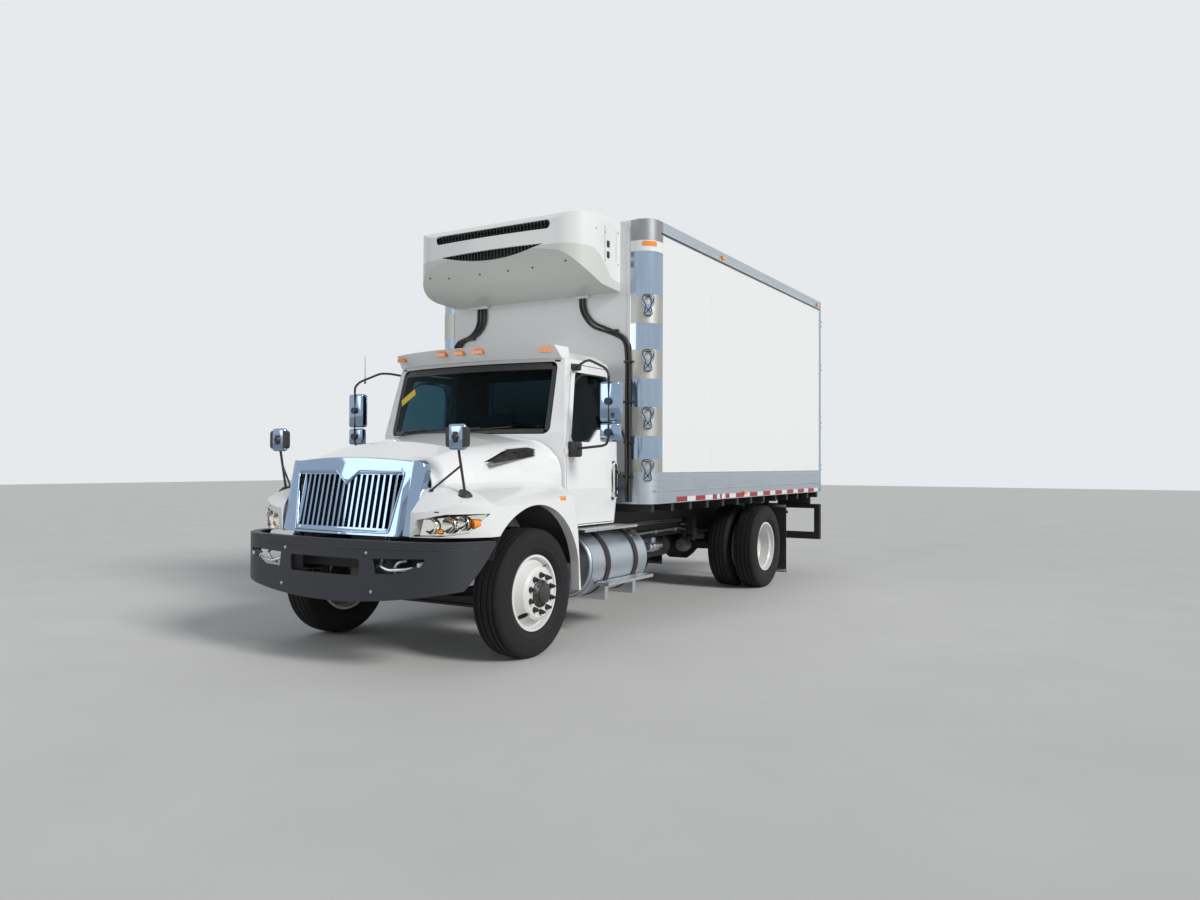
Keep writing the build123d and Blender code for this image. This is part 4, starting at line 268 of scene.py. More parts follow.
def grouped_material(name, group_tree, values):
    """Material that takes its colour and roughness from a shared group."""
    material, tree, shader, place = start_material(name)
    group = tree.nodes.new("ShaderNodeGroup")
    group.node_tree = group_tree
    tree.links.new(place, group.inputs["Position"])
    for label, value in values.items():
        group.inputs[label].default_value = value
    tree.links.new(group.outputs["Color"], shader.inputs["Base Color"])
    tree.links.new(group.outputs["Roughness"], shader.inputs["Roughness"])
    return material, tree, shader, place, group.outputs["Height"]


def bump_from(tree, shader, height, strength, distance):
    """Shallow bump from a height socket."""
    bump = tree.nodes.new("ShaderNodeBump")
    bump.inputs["Strength"].default_value = strength
    bump.inputs["Distance"].default_value = distance
    tree.links.new(height, bump.inputs["Height"])
    tree.links.new(bump.outputs[0], shader.inputs["Normal"])


def dirty_finish(name, paint, roughness, amount, clean_height=1.3, coat=0.0, bump=0.05, grain_scale=None,
                 dust=(0.3, 0.27, 0.23, 1), metallic=0.0, specular=0.5):
    """Paint or plastic with road dirt; grain_scale gives it a moulded grain."""
    values = {"Paint": (*paint, 1), "Dirt": dust, "Amount": amount, "Clean Height": clean_height,
              "Roughness": roughness}
    material, tree, shader, place, height = grouped_material(name, dirt, values)
    for label, value in (("Metallic", metallic), ("Specular IOR Level", specular), ("Coat Weight", coat),
                         ("Coat Roughness", 0.06)):
        shader.inputs[label].default_value = value
    if grain_scale:
        height = noise(tree, place, grain_scale, 3.0, 0.6)
    bump_from(tree, shader, height, bump, 0.004)
    return material


def metal_finish(name, metal, roughness, depth, stretch, bump=0.03):
    """Bare metal with grain drawn out by stretch."""
    values = {"Metal": (*metal, 1), "Roughness": roughness, "Depth": depth, "Stretch": stretch}
    material, tree, shader, place, height = grouped_material(name, grain, values)
    shader.inputs["Metallic"].default_value = 1.0
    bump_from(tree, shader, height, bump, 0.002)
    return material


finishes = {
    "tyre_rubber": dirty_finish("worn_tyre_rubber", (0.01, 0.01, 0.012), 0.74, 0.1, 1.1, bump=0.35, grain_scale=160,
                                dust=(0.14, 0.13, 0.12, 1), specular=0.28),
    "wheel_white": dirty_finish("wheel_white_paint", (0.8, 0.8, 0.79), 0.32, 0.3, 0.9, coat=0.3, bump=0.04),
    "chassis_black": dirty_finish("chassis_black_paint", (0.012, 0.012, 0.014), 0.5, 0.14, 1.2, bump=0.15,
                                  grain_scale=60, specular=0.35),
    "bumper_grey": dirty_finish("bumper_grained_plastic", (0.027, 0.03, 0.038), 0.5, 0.05, 1.0, bump=0.18,
                                grain_scale=420, specular=0.4),
    "cast_metal": dirty_finish("engine_cast_iron", (0.13, 0.13, 0.125), 0.6, 0.35, 1.8, bump=0.3, grain_scale=90),
    "cab_white": dirty_finish("cab_white_paint", (0.84, 0.85, 0.855), 0.26, 0.1, 1.5, coat=0.8, bump=0.02),
    "body_white": dirty_finish("body_white_panel", (0.82, 0.83, 0.835), 0.34, 0.09, 2.0, coat=0.25, bump=0.06),
    "unit_white": dirty_finish("unit_white_plastic", (0.84, 0.85, 0.85), 0.3, 0.06, 4.5, coat=0.3, bump=0.03),
    "unit_beige": dirty_finish("unit_beige_plastic", (0.66, 0.675, 0.635), 0.38, 0.08, 4.5, coat=0.1, bump=0.03),
    "lamp_amber": dirty_finish("amber_lamp_plastic", (0.95, 0.3, 0.03), 0.18, 0.08, 1.0, coat=0.7, bump=0.1,
                               grain_scale=240),
    "trim_grey": dirty_finish("dashboard_grey_plastic", (0.13, 0.13, 0.135), 0.6, 0.1, 2.5, bump=0.2,
                              grain_scale=380),
    "trim_black": dirty_finish("trim_black_plastic", (0.022, 0.022, 0.023), 0.42, 0.12, 1.6, bump=0.1,
                               grain_scale=300),
    "hose_rubber": dirty_finish("hose_black_rubber", (0.02, 0.02, 0.021), 0.55, 0.1, 3.0, bump=0.1, grain_scale=220),
    "flap_rubber": dirty_finish("mudflap_rubber", (0.016, 0.016, 0.017), 0.75, 0.25, 1.2, bump=0.3, grain_scale=120,
                                specular=0.3),
    "floor_aluminium": metal_finish("load_floor_aluminium", (0.62, 0.63, 0.64), 0.42, 0.25, (90.0, 3.0, 90.0)),
    "rail_aluminium": metal_finish("rail_mill_aluminium", (0.52, 0.57, 0.62), 0.36, 0.24, (60.0, 2.5, 60.0)),
    # Painted sky reflection: polished steel and bright chrome get a dark blue-grey colour that stands in for a blue
    # sky mirrored in them; the bare metal is paler and neutral.
    "polished_steel": metal_finish("corner_steel_painted_sky_reflection", (0.36, 0.45, 0.56), 0.15, 0.26, (40.0, 40.0, 2.0)),
    "bright_chrome": metal_finish("bright_chrome", (0.29, 0.39, 0.53), 0.07, 0.1, (12.0, 12.0, 12.0), bump=0.01),
}
print("finishes:", len(finishes))

# %% [markdown]
# Glass is clear with a teal tint. A thin pane could be a mix of clear and glossy shaders, but a
# Principled shader with full transmission also exports. Seats have a woven cloth finish, a fine
# checker whose squares stand for the threads.

# %% Glass and cloth
def clear_finish(name, ior, low, high, scale, detail, haze):
    """Clear glass or plastic whose tint and haze change slowly."""
    material, tree, shader, place = start_material(name)
    shader.inputs["Transmission Weight"].default_value = 1.0
    shader.inputs["IOR"].default_value = ior
    smear = noise(tree, place, scale, detail, 0.6)
    tree.links.new(blend_colour(tree, smear, low, high), shader.inputs["Base Color"])
    tree.links.new(math(tree, "MULTIPLY", smear, haze), shader.inputs["Roughness"])
    return material


finishes["tinted_glass"] = clear_finish("teal_cab_glass", 1.12, (0.12, 0.24, 0.28, 1), (0.16, 0.29, 0.33, 1),
                                        5.0, 4.0, 0.05)
finishes["lamp_clear"] = clear_finish("clear_lamp_lens", 1.06, (0.86, 0.87, 0.84, 1), (0.96, 0.96, 0.94, 1),
                                      30.0, 3.0, 0.1)
cloth, cloth_tree, cloth_shader, cloth_place = start_material("woven_seat_cloth")
weave = cloth_tree.nodes.new("ShaderNodeTexChecker")
weave.inputs["Scale"].default_value = 260.0
weave.inputs["Color1"].default_value = (0.1, 0.1, 0.11, 1)
weave.inputs["Color2"].default_value = (0.16, 0.16, 0.17, 1)
cloth_tree.links.new(cloth_place, weave.inputs["Vector"])
cloth_tree.links.new(weave.outputs["Color"], cloth_shader.inputs["Base Color"])
cloth_shader.inputs["Roughness"].default_value = 0.9
cloth_shader.inputs["Sheen Weight"].default_value = 0.3
bump_from(cloth_tree, cloth_shader, weave.outputs["Fac"], 0.25, 0.001)
finishes["seat_fabric"] = cloth

# %% Put each finish on the solids whose slot it is
for row in frame["record"]["subparts"]:
    mesh = nodes[row["node"]].data
    mesh.materials.clear()
    mesh.materials.append(finishes[row["material_slot"]])

# %% [markdown]
# ## Tools for the added pieces
# Small parts start as simple operator shapes in a bmesh: blocks with bevelled edges, round bars,
# bent tubes and turned profiles. They could be modelled by hand in place, but a handful of tools
# keeps them consistent. Each finished piece then rides on one body of the truck.


# %% Mesh tools
def block(bm, low, high, bevel=0.0, segments=2):
    """Box between two corners, with rounded edges."""
    made = bmesh.ops.create_cube(bm, size=1.0)["verts"]
    low, high = Vector(low), Vector(high)
    for vert in made:
        for axis in range(3):
            vert.co[axis] = low[axis] + (vert.co[axis] + 0.5) * (high[axis] - low[axis])
    if bevel:
        edges = list({edge for vert in made for edge in vert.link_edges})
        bmesh.ops.bevel(bm, geom=edges, offset=bevel, segments=segments, affect="EDGES", profile=0.5, material=-1)


def blocks(bm, rows, s=1):
    """Blocks from rows of two corners, bevel and segments: X outwards on side s, Y as for at()."""
    for x0, y0, z0, x1, y1, z1, *soft in rows:
        low, high = sorted((s * x0, s * x1))
        block(bm, (low, at(y0), z0), (high, at(y1), z1), *soft)


def placed(points, s=1):
    """Points in the truck's frame, from points with X outwards on side s and Y as for at()."""
    return [Vector((s * x, at(y), z)) for x, y, z in points]


def rod(bm, start, end, radius, end_radius=None, sides=14):
    """Round bar or cone between two points."""
    start, end = Vector(start), Vector(end)
    line = end - start
    place = Matrix.Translation((start + end) / 2) @ line.to_track_quat("Z", "Y").to_matrix().to_4x4()
    bmesh.ops.create_cone(bm, cap_ends=True, segments=sides, radius1=radius,
                          radius2=radius if end_radius is None else end_radius, depth=line.length, matrix=place)


def tube(bm, points, radius, sides=12):
    """Round tube through points, its bends smoothed by a curve through them."""
    points = [Vector(point) for point in points]
    path = [points[0]]
    for before, corner, after in zip(points, points[1:], points[2:]):
        reach = 0.35 * min((corner - before).length, (after - corner).length)
        start = corner + (before - corner).normalized() * reach
        end = corner + (after - corner).normalized() * reach
        for step in range(5):
            t = step / 4
            path.append(start * (1 - t) ** 2 + corner * 2 * t * (1 - t) + end * t ** 2)
    path.append(points[-1])
    ring = bmesh.ops.create_circle(bm, segments=sides, radius=radius, cap_ends=False)["verts"]
    flat = [vert.co.copy() for vert in ring]
    edges = list({edge for vert in ring for edge in vert.link_edges})
    caps = [edges]
    for place, point in enumerate(path):
        ahead = path[min(place + 1, len(path) - 1)] - path[max(place - 1, 0)]
        frame_turn = ahead.to_track_quat("Z", "X").to_matrix()
        if place:
            grown = bmesh.ops.extrude_edge_only(bm, edges=edges)["geom"]
            edges = [item for item in grown if isinstance(item, bmesh.types.BMEdge)]
            edges = [edge for edge in edges if all(vert in grown for vert in edge.verts)]
            ring = [item for item in grown if isinstance(item, bmesh.types.BMVert)]
        for vert, local in zip(ring, flat):
            vert.co = point + frame_turn @ local
    caps.append(edges)
    bmesh.ops.contextual_create(bm, geom=caps[0])
    bmesh.ops.contextual_create(bm, geom=caps[1])


def turned(bm, profile, centre, axis="X", steps=48, closed=False):
    """Profile of (along, radius) points turned once round an axis through centre."""
    centre = Vector(centre)
    along = {"X": Vector((1, 0, 0)), "Y": Vector((0, 1, 0)), "Z": Vector((0, 0, 1))}[axis]
    out = Vector((1, 0, 0)) if axis == "Z" else Vector((0, 0, 1))
    verts = [bm.verts.new(centre + along * u + out * r) for u, r in profile]
    chain = list(zip(verts, verts[1:])) + ([(verts[-1], verts[0])] if closed else [])
    edges = [bm.edges.new(two) for two in chain]
    bmesh.ops.spin(bm, geom=verts + edges, cent=centre, axis=along, angle=2 * pi, steps=steps, use_merge=True)
    bmesh.ops.remove_doubles(bm, verts=bm.verts[:], dist=1e-5)


def plate(bm, outline, depth):
    """Flat outline of 3-D points pushed along depth."""
    verts = [bm.verts.new(Vector(point)) for point in outline]
    face = bmesh.ops.contextual_create(bm, geom=verts)["faces"][0]
    grown = bmesh.ops.extrude_face_region(bm, geom=[face])["geom"]
    moved = [item for item in grown if isinstance(item, bmesh.types.BMVert)]
    bmesh.ops.translate(bm, verts=moved, vec=Vector(depth))


def piece(name, bm, finish, body, replaces=(), sharp=32):
    """Finish the mesh, give it its material and hang it on its body."""
    bmesh.ops.recalc_face_normals(bm, faces=bm.faces[:])
    mesh = bpy.data.meshes.new(name)
    bm.to_mesh(mesh)
    bm.free()
    mesh.materials.append(finishes[finish])
    mesh.polygons.foreach_set("use_smooth", [True] * len(mesh.polygons))
    mesh.set_sharp_from_angle(angle=radians(sharp))
    thing = bpy.data.objects.new(name, mesh)
    bpy.context.collection.objects.link(thing)
    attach(thing, body)
    if replaces:
        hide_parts(*replaces)
    return thing


SIDES = ((1, "left"), (-1, "right"))
print("tools ready")

# %% [markdown]
# ## Tyres
# Road tyres have straight grooves round the tread. A turned profile with four grooves, a stepped
# shoulder and raised sidewall rings makes the real shape; a bump map would leave the edge smooth.

# %% Tyres
HALF_TYRE = [(0.0, 0.505), (0.021, 0.5048), (0.023, 0.493), (0.033, 0.493), (0.035, 0.5042), (0.068, 0.5022),
             (0.07, 0.491), (0.08, 0.491), (0.082, 0.5008), (0.104, 0.497), (0.112, 0.491), (0.118, 0.48),
             (0.1225, 0.478), (0.1245, 0.468), (0.13, 0.452), (0.1355, 0.428), (0.138, 0.402), (0.1372, 0.38),
             (0.135, 0.362), (0.1362, 0.359), (0.1352, 0.35), (0.1325, 0.346), (0.126, 0.324), (0.112, 0.308),
             (0.102, 0.304), (0.097, 0.3), (0.092, 0.29)]
TYRE_PROFILE = [(-u, r) for u, r in reversed(HALF_TYRE[1:])] + HALF_TYRE
for s, side in SIDES:
    for name, offsets, axle_y, body, node in (
            ("ribbed_front_tyre_", (1.0225,), FRONT_AXLE, "front_wheel_", "front_tyre_"),
            ("ribbed_rear_tyres_", (1.083, 0.747), REAR_AXLE, "rear_wheels_", "rear_tyres_")):
        tyres = bmesh.new()
        for x in offsets:
            turned(tyres, TYRE_PROFILE, (s * x, axle_y, HUB_Z), steps=96, closed=True)
        piece(name + side, tyres, "tyre_rubber", body + side, replaces=(node + side,), sharp=40)
print("tyre profile points:", len(TYRE_PROFILE))

# %% [markdown]
# ## Hubs and wheel nuts
# A black hub with a bolted cap stands out of each front disc inside a ring of ten studs. The
# rear discs are dished the other way, so their nuts sit deep and the axle end stands proud.

# %% Hubs and nuts
finishes["nut_steel"] = dirty_finish("dark_nut_steel", (0.05, 0.05, 0.055), 0.42, 0.3, 0.9, metallic=0.7, bump=0.1,
                                     grain_scale=150)
STUD_CIRCLE = 0.1429
NUT_STEPS = ((0.0, 0.006, 0.023, 0.023, 18), (0.006, 0.03, 0.0185, 0.017, 6), (0.03, 0.046, 0.0105, 0.0105, 10))
HUB_CAP = ((1.186, 0.0), (1.186, 0.1068), (1.1945, 0.1068), (1.1985, 0.1015), (1.217, 0.0752), (1.23, 0.072),
           (1.235, 0.064), (1.236, 0.0))
AXLE_END = ((0.927, 0.1062), (1.0135, 0.1062), (1.018, 0.1), (1.0345, 0.088), (1.042, 0.084), (1.044, 0.04),
            (1.052, 0.034), (1.0525, 0.0))


def round_axle(axle_y, radius, count, shift=0.0):
    """(y, z) places spaced evenly on a circle round an axle."""
    turns = [2 * pi * (place + shift) / count for place in range(count)]
    return [(axle_y + radius * cos(turn), HUB_Z + radius * sin(turn)) for turn in turns]


for s, side in SIDES:
    for axle_y, face_x, body in ((FRONT_AXLE, 1.1857, "front_wheel_"), (REAR_AXLE, 0.9262, "rear_wheels_")):
        nuts = bmesh.new()
        for y, z in round_axle(axle_y, STUD_CIRCLE, 10, 0.5):
            for x0, x1, r0, r1, sides in NUT_STEPS:
                rod(nuts, (s * (face_x + x0), y, z), (s * (face_x + x1), y, z), r0, r1, sides)
        piece("wheel_nuts_" + body + side, nuts, "nut_steel", body + side)
    for name, profile, axle_y, circle, x0, x1, bolt, finish, body in (
            ("front_hub_cap_", HUB_CAP, FRONT_AXLE, 0.088, 1.203, 1.216, 0.0095, "trim_black", "front_wheel_"),
            ("rear_axle_end_", AXLE_END, REAR_AXLE, 0.062, 1.04, 1.053, 0.01, "chassis_black", "rear_wheels_")):
        cap = bmesh.new()
        turned(cap, [(s * x, r) for x, r in profile], (0, axle_y, HUB_Z))
        for y, z in round_axle(axle_y, circle, 8):
            rod(cap, (s * x0, y, z), (s * x1, y, z), bolt, sides=6)
        piece(name + side, cap, finish, body + side)
print("wheels dressed")

# %% [markdown]
# ## Mirrors
# Each door mirror hangs in a bent black tube, which stands for the solid arm: a curve through
# the bends is softer than straight runs between balls. The bright shells cover the solid heads,
# with glass on their rear faces, and stay inside the truck's overall width.

# %% Mirrors
nodes["hood_mirrors"].data.materials[0] = finishes["trim_black"]
finishes["mirror_glass"] = metal_finish("mirror_glass_silver", (0.86, 0.88, 0.9), 0.02, 0.02, (3.0, 3.0, 3.0),
                                        bump=0.0)
MIRROR_X, MIRROR_Y = 1.447, 0.592
MIRROR_HEADS = (("main", 1.866, 2.194, 0.08, 0.0925), ("lower", 1.696, 1.854, 0.068, 0.09))
MIRROR_ARM = ((0.96, 0.85, 2.358), (1.13, 0.735, 2.392), (1.205, 0.688, 2.392), (1.4, 0.608, 2.312),
              (1.447, 0.59, 2.262), (1.447, 0.59, 1.728), (1.428, 0.594, 1.678), (1.38, 0.605, 1.664),
              (1.066, 0.676, 1.642))
for s, side in SIDES:
    door = "door_" + side
    for part, z0, z1, depth, half in MIRROR_HEADS:
        back = MIRROR_Y + depth
        shell = bmesh.new()
        blocks(shell, ((MIRROR_X - half, MIRROR_Y, z0, MIRROR_X + half, back, z1, 0.022, 3),), s)
        piece(part + "_mirror_shell_" + side, shell, "bright_chrome", door)
        pane = bmesh.new()
        wide = half - 0.01
        blocks(pane, ((MIRROR_X - wide, back - 0.001, z0 + 0.01, MIRROR_X + wide, back + 0.004, z1 - 0.01, 0.004),), s)
        piece(part + "_mirror_pane_" + side, pane, "mirror_glass", door)
    arm = bmesh.new()
    tube(arm, placed(MIRROR_ARM, s), 0.011)
    piece("mirror_arm_" + side, arm, "trim_black", door, replaces=("mirror_" + side,))
    clamps = bmesh.new()
    for z in (2.03, 1.775):
        rod(clamps, *placed(((MIRROR_X, 0.565, z), (MIRROR_X, 0.6, z)), s), 0.03, 0.024)
        blocks(clamps, ((MIRROR_X - 0.018, 0.572, z - 0.03, MIRROR_X + 0.018, 0.606, z + 0.03, 0.006),), s)
    blocks(clamps, ((1.014, 0.628, 1.572, 1.118, 0.726, 1.706, 0.02, 3),), s)
    block(clamps, (s * 0.962 - 0.03, at(0.8), 2.33), (s * 0.962 + 0.04, at(0.89), 2.386), 0.014, 3)
    piece("mirror_clamps_" + side, clamps, "trim_black", door)
    dome = bmesh.new()
    blocks(dome, ((0.873, -0.749, 1.609, 1.027, -0.699, 1.801, 0.023, 3),), s)
    piece("hood_mirror_shell_" + side, dome, "bright_chrome", "hood")
    ball = bmesh.new()
    rod(ball, *placed(((0.95, -0.768, 1.705), (0.95, -0.744, 1.705)), s), 0.024, 0.032)
    blocks(ball, ((0.936, -0.766, 1.665, 0.964, -0.744, 1.745, 0.005),), s)
    turned(ball, [(1.27, 0.0), (1.27, 0.058), (1.282, 0.056), (1.306, 0.03), (1.316, 0.014), (1.316, 0.0)],
           (s * 0.96, at(-0.65), 0.0), axis="Z", steps=24)
    piece("hood_mirror_mount_" + side, ball, "trim_black", "hood")
print("mirrors dressed")

# %% [markdown]
# ## Hood details
# The vent in each side of the hood is a black louvre, the headlamp has bright bowls behind its
# lens with an amber turn lamp outboard, and a black liner hides the frame above each wheel.

# %% Hood vents
VENT_CORNERS = ((-0.258, 1.5235), (0.04, 1.6265), (0.283, 1.6485), (0.283, 1.5835))
for s, side in SIDES:
    vent = bmesh.new()
    plate(vent, [(s * 0.86, at(y), z) for y, z in VENT_CORNERS], (s * 0.01, 0, 0))
    for count in range(5):
        t = (count + 0.7) / 5.4
        y0, z0, y1, z1 = -0.258 + 0.1 * t, 1.5235 + 0.036 * t, 0.283, 1.5835 + 0.066 * t
        slat = ((0.87, y0, z0), (0.87, y1, z1), (0.93, y1, z1 - 0.012), (0.93, y0, z0 - 0.012))
        plate(vent, placed(slat, s), (0, 0, 0.005))
    blocks(vent, [(0.87, y, 1.555 + 0.14 * y, 0.935, y + 0.006, 1.6 + 0.15 * y) for y in (-0.06, 0.06, 0.17)], s)
    piece("hood_vent_louvre_" + side, vent, "trim_black", "hood")

# %% Headlamps
finishes["lamp_bowl"] = metal_finish("lamp_bowl_silver", (0.9, 0.89, 0.86), 0.12, 0.05, (40.0, 40.0, 40.0), bump=0.05)
BOWLS = ((0.8, -0.842, 1.062, 0.058), (0.925, -0.79, 1.07, 0.06), (1.01, -0.735, 1.082, 0.05))
LAMP_BACK = ((0.72, -0.86, 0.992), (0.745, -0.85, 1.105), (1.13, -0.6, 1.146), (1.06, -0.645, 1.016),
             (0.9, -0.78, 0.992))
for s, side in SIDES:
    bowls = bmesh.new()
    for x, y, z, r in BOWLS:
        turned(bowls, [(0.04, 0.0), (0.036, 0.3 * r), (0.018, 0.75 * r), (0.0, r), (0.006, r + 0.004),
                       (0.03, r + 0.004)], (s * x, at(y), z), axis="Y", steps=32)
    plate(bowls, placed(LAMP_BACK, s), (0, 0.02, 0))
    piece("headlamp_bowls_" + side, bowls, "lamp_bowl", "hood")
    bulbs = bmesh.new()
    rod(bulbs, *placed(((1.075, -0.7, 1.075), (1.1, -0.655, 1.082)), s), 0.04, 0.03, sides=24)
    rod(bulbs, *placed(((0.862, -0.835, 1.02), (0.862, -0.8, 1.02)), s), 0.016, 0.02, sides=16)
    piece("turn_lamp_" + side, bulbs, "lamp_amber", "hood")
    side_lamp = bmesh.new()
    block(side_lamp, (s * 1.172 - 0.016, at(0.27), 1.214), (s * 1.172 + 0.018, at(0.362), 1.252), 0.01, 3)
    piece("fender_lamp_" + side, side_lamp, "lamp_amber", "hood")

# %% Wheel arch liners and the screen behind the grille
LINER_STEPS = 14
for s, side in SIDES:
    liner = bmesh.new()
    rows = []
    for count in range(LINER_STEPS + 1):
        turn = radians(8 + 152 * count / LINER_STEPS)
        y, z = at(0.03) + 0.56 * cos(turn), 0.6 + 0.585 * sin(turn)
        rows.append([liner.verts.new((s * x, y, z)) for x in (0.66, 1.1)])
    for before, after in zip(rows, rows[1:]):
        bmesh.ops.contextual_create(liner, geom=before + after)
    bmesh.ops.solidify(liner, geom=liner.faces[:], thickness=0.004)
    piece("wheel_arch_liner_" + side, liner, "trim_black", "hood")
screen = bmesh.new()
bmesh.ops.create_grid(screen, x_segments=2, y_segments=2, size=0.5)
for vert in screen.verts:
    across, up = vert.co.x, vert.co.y
    vert.co = Vector((across * 1.24, at(-0.83 + 0.09 * (up + 0.5)), 1.24 + up * 0.44))
bmesh.ops.solidify(screen, geom=screen.faces[:], thickness=0.004)
piece("insect_screen", screen, "trim_black", "hood")
print("hood dressed")

# %% [markdown]
# ## Finding a place on a curved panel
# The cab, hood and unit have no flat faces to measure from. A ray sent at the solid finds the
# skin under any place, so a seal or a bolt lies on it. Shrinkwrap would do the same by modifier.

# %% Rays on the solids
skins = {}


def skin_hit(node, start, way):
    """Point of a solid's skin that a ray from start meets, or None."""
    if node not in skins:
        probe = bmesh.new()
        probe.from_mesh(nodes[node].data)
        skins[node] = BVHTree.FromBMesh(probe)
        probe.free()
    return skins[node].ray_cast(Vector(start), Vector(way).normalized(), 6.0)[0]


def front_y(node, x, z):
    """Y of a solid's skin as seen from in front, or None."""
    hit = skin_hit(node, (x, -6.0, z), (0, 1, 0))
    return hit.y if hit else None


def side_x(node, s, y, z):
    """X of a solid's skin as seen from one side, or None."""
    hit = skin_hit(node, (s * 3.0, y, z), (-s, 0, 0))
    return hit.x if hit else None


def draped(bm, node, place, across, along, way, lift, thickness):
    """Grid of rays laid on a solid's skin, from starts place(u, v), and given a thickness.

    The sheet floats by lift and grows outwards, or back towards the skin if thickness is negative.
    """
    way = Vector(way).normalized()
    sheet = bmesh.ops.create_grid(bm, x_segments=across, y_segments=along, size=0.5)["verts"]
    hits = {vert: skin_hit(node, place(vert.co.x + 0.5, vert.co.y + 0.5), way) for vert in sheet}
    for vert, hit in hits.items():
        if hit is not None:
            vert.co = hit - way * lift
    bmesh.ops.delete(bm, geom=[vert for vert, hit in hits.items() if hit is None], context="VERTS")
    faces = list(dict.fromkeys(face for vert in sheet if vert.is_valid for face in vert.link_faces))
    bm.normal_update()
    if sum((face.normal for face in faces), Vector()).dot(way) < 0:
        bmesh.ops.reverse_faces(bm, faces=faces)
    bmesh.ops.solidify(bm, geom=faces, thickness=thickness)


def studs(bm, places, way, radius, height, sides=8, top=0.55):
    """Rivet or bolt heads, one on each place, standing along way."""
    way = Vector(way)
    for place in places:
        rod(bm, place, Vector(place) + way * height, radius, radius * top, sides=sides)


def spread(start, end, count):
    """Places spaced evenly from start to end."""
    start, end = Vector(start), Vector(end)
    return [start.lerp(end, place / (count - 1)) for place in range(count)]


print("rays ready")

# %% [markdown]
# ## Windshield, wipers and cab trim
# A fired black border hides the glue round a windshield, and rubber edges the side windows. Both
# are thin sheets draped over the glass; a texture mask could paint them, but would not show edges.

# %% Windshield border
REARWARD = (0, 1, 0)
frit = bmesh.new()
for x0, z0, x1, z1 in ((-0.875, 2.335, 0.875, 2.392), (-0.893, 1.776, 0.893, 1.812)):
    draped(frit, "cab_glass", lambda u, v: (x0 + u * (x1 - x0), -6.0, z0 + v * (z1 - z0)), 36, 2, REARWARD,
           0.0018, -0.0012)
for s, side in SIDES:
    draped(frit, "cab_glass", lambda u, v: (s * (0.893 - 0.018 * v - 0.04 * u), -6.0, 1.8 + 0.55 * v),
           3, 14, REARWARD, 0.0018, s * 0.0012)
piece("windshield_border", frit, "trim_black", "root")
header = bmesh.new()
draped(header, "cab_front", lambda u, v: (-0.905 + 1.81 * u, -6.0, 2.399 + 0.012 * v), 36, 1, REARWARD, 0.003, 0.003)
piece("windshield_top_seal", header, "trim_black", "root")

# %% Wipers
wipers = bmesh.new()
for foot, tip in ((-0.02, 0.56), (-0.66, -0.1)):
    blade = [(foot + (tip - foot) * part, 1.795 + 0.035 * part) for part in (0.0, 0.25, 0.5, 0.75, 1.0)]
    line = [Vector((x, (front_y("cab_glass", x, z) or at(0.42)) - 0.016, z)) for x, z in blade]
    tube(wipers, line, 0.006, sides=8)
    lifted = [point + Vector((0, -0.01, 0.01)) for point in line[:3]]
    start = Vector((foot - 0.03, line[0].y - 0.012, 1.772))
    tube(wipers, [start, lifted[0], lifted[2]], 0.008, sides=8)
    rod(wipers, start + Vector((0, 0.03, -0.012)), start + Vector((0, -0.012, 0.004)), 0.02, 0.014)
piece("windshield_wipers", wipers, "trim_black", "root")

# %% Blank yellow tag inside the windshield
finishes["tag_yellow"] = dirty_finish("tag_yellow_card", (0.85, 0.62, 0.03), 0.5, 0.1, 3.0, grain_scale=300)
tag = bmesh.new()
tag_low, tag_high = Vector((-0.845, 0, 2.083)), Vector((-0.665, 0, 2.187))
rise = (tag_high - tag_low).normalized().cross(Vector((0, -1, 0))) * 0.033


def tag_place(u, v):
    spot = tag_low.lerp(tag_high, u) + rise * (2 * v - 1)
    return (spot.x, -6.0, spot.z)


draped(tag, "cab_glass", tag_place, 8, 2, REARWARD, 0.0016, 0.0008)
piece("windshield_tag", tag, "tag_yellow", "root")
print("windshield dressed")

# %% [markdown]
# A door handle is a black cup with a grip across it, the rubber edge of a window follows its
# outline on the glass, and a grab rail stands beside the door for climbing in. The soft shapes
# are draped or bent from a few points, which is quicker than carving them out of blocks.

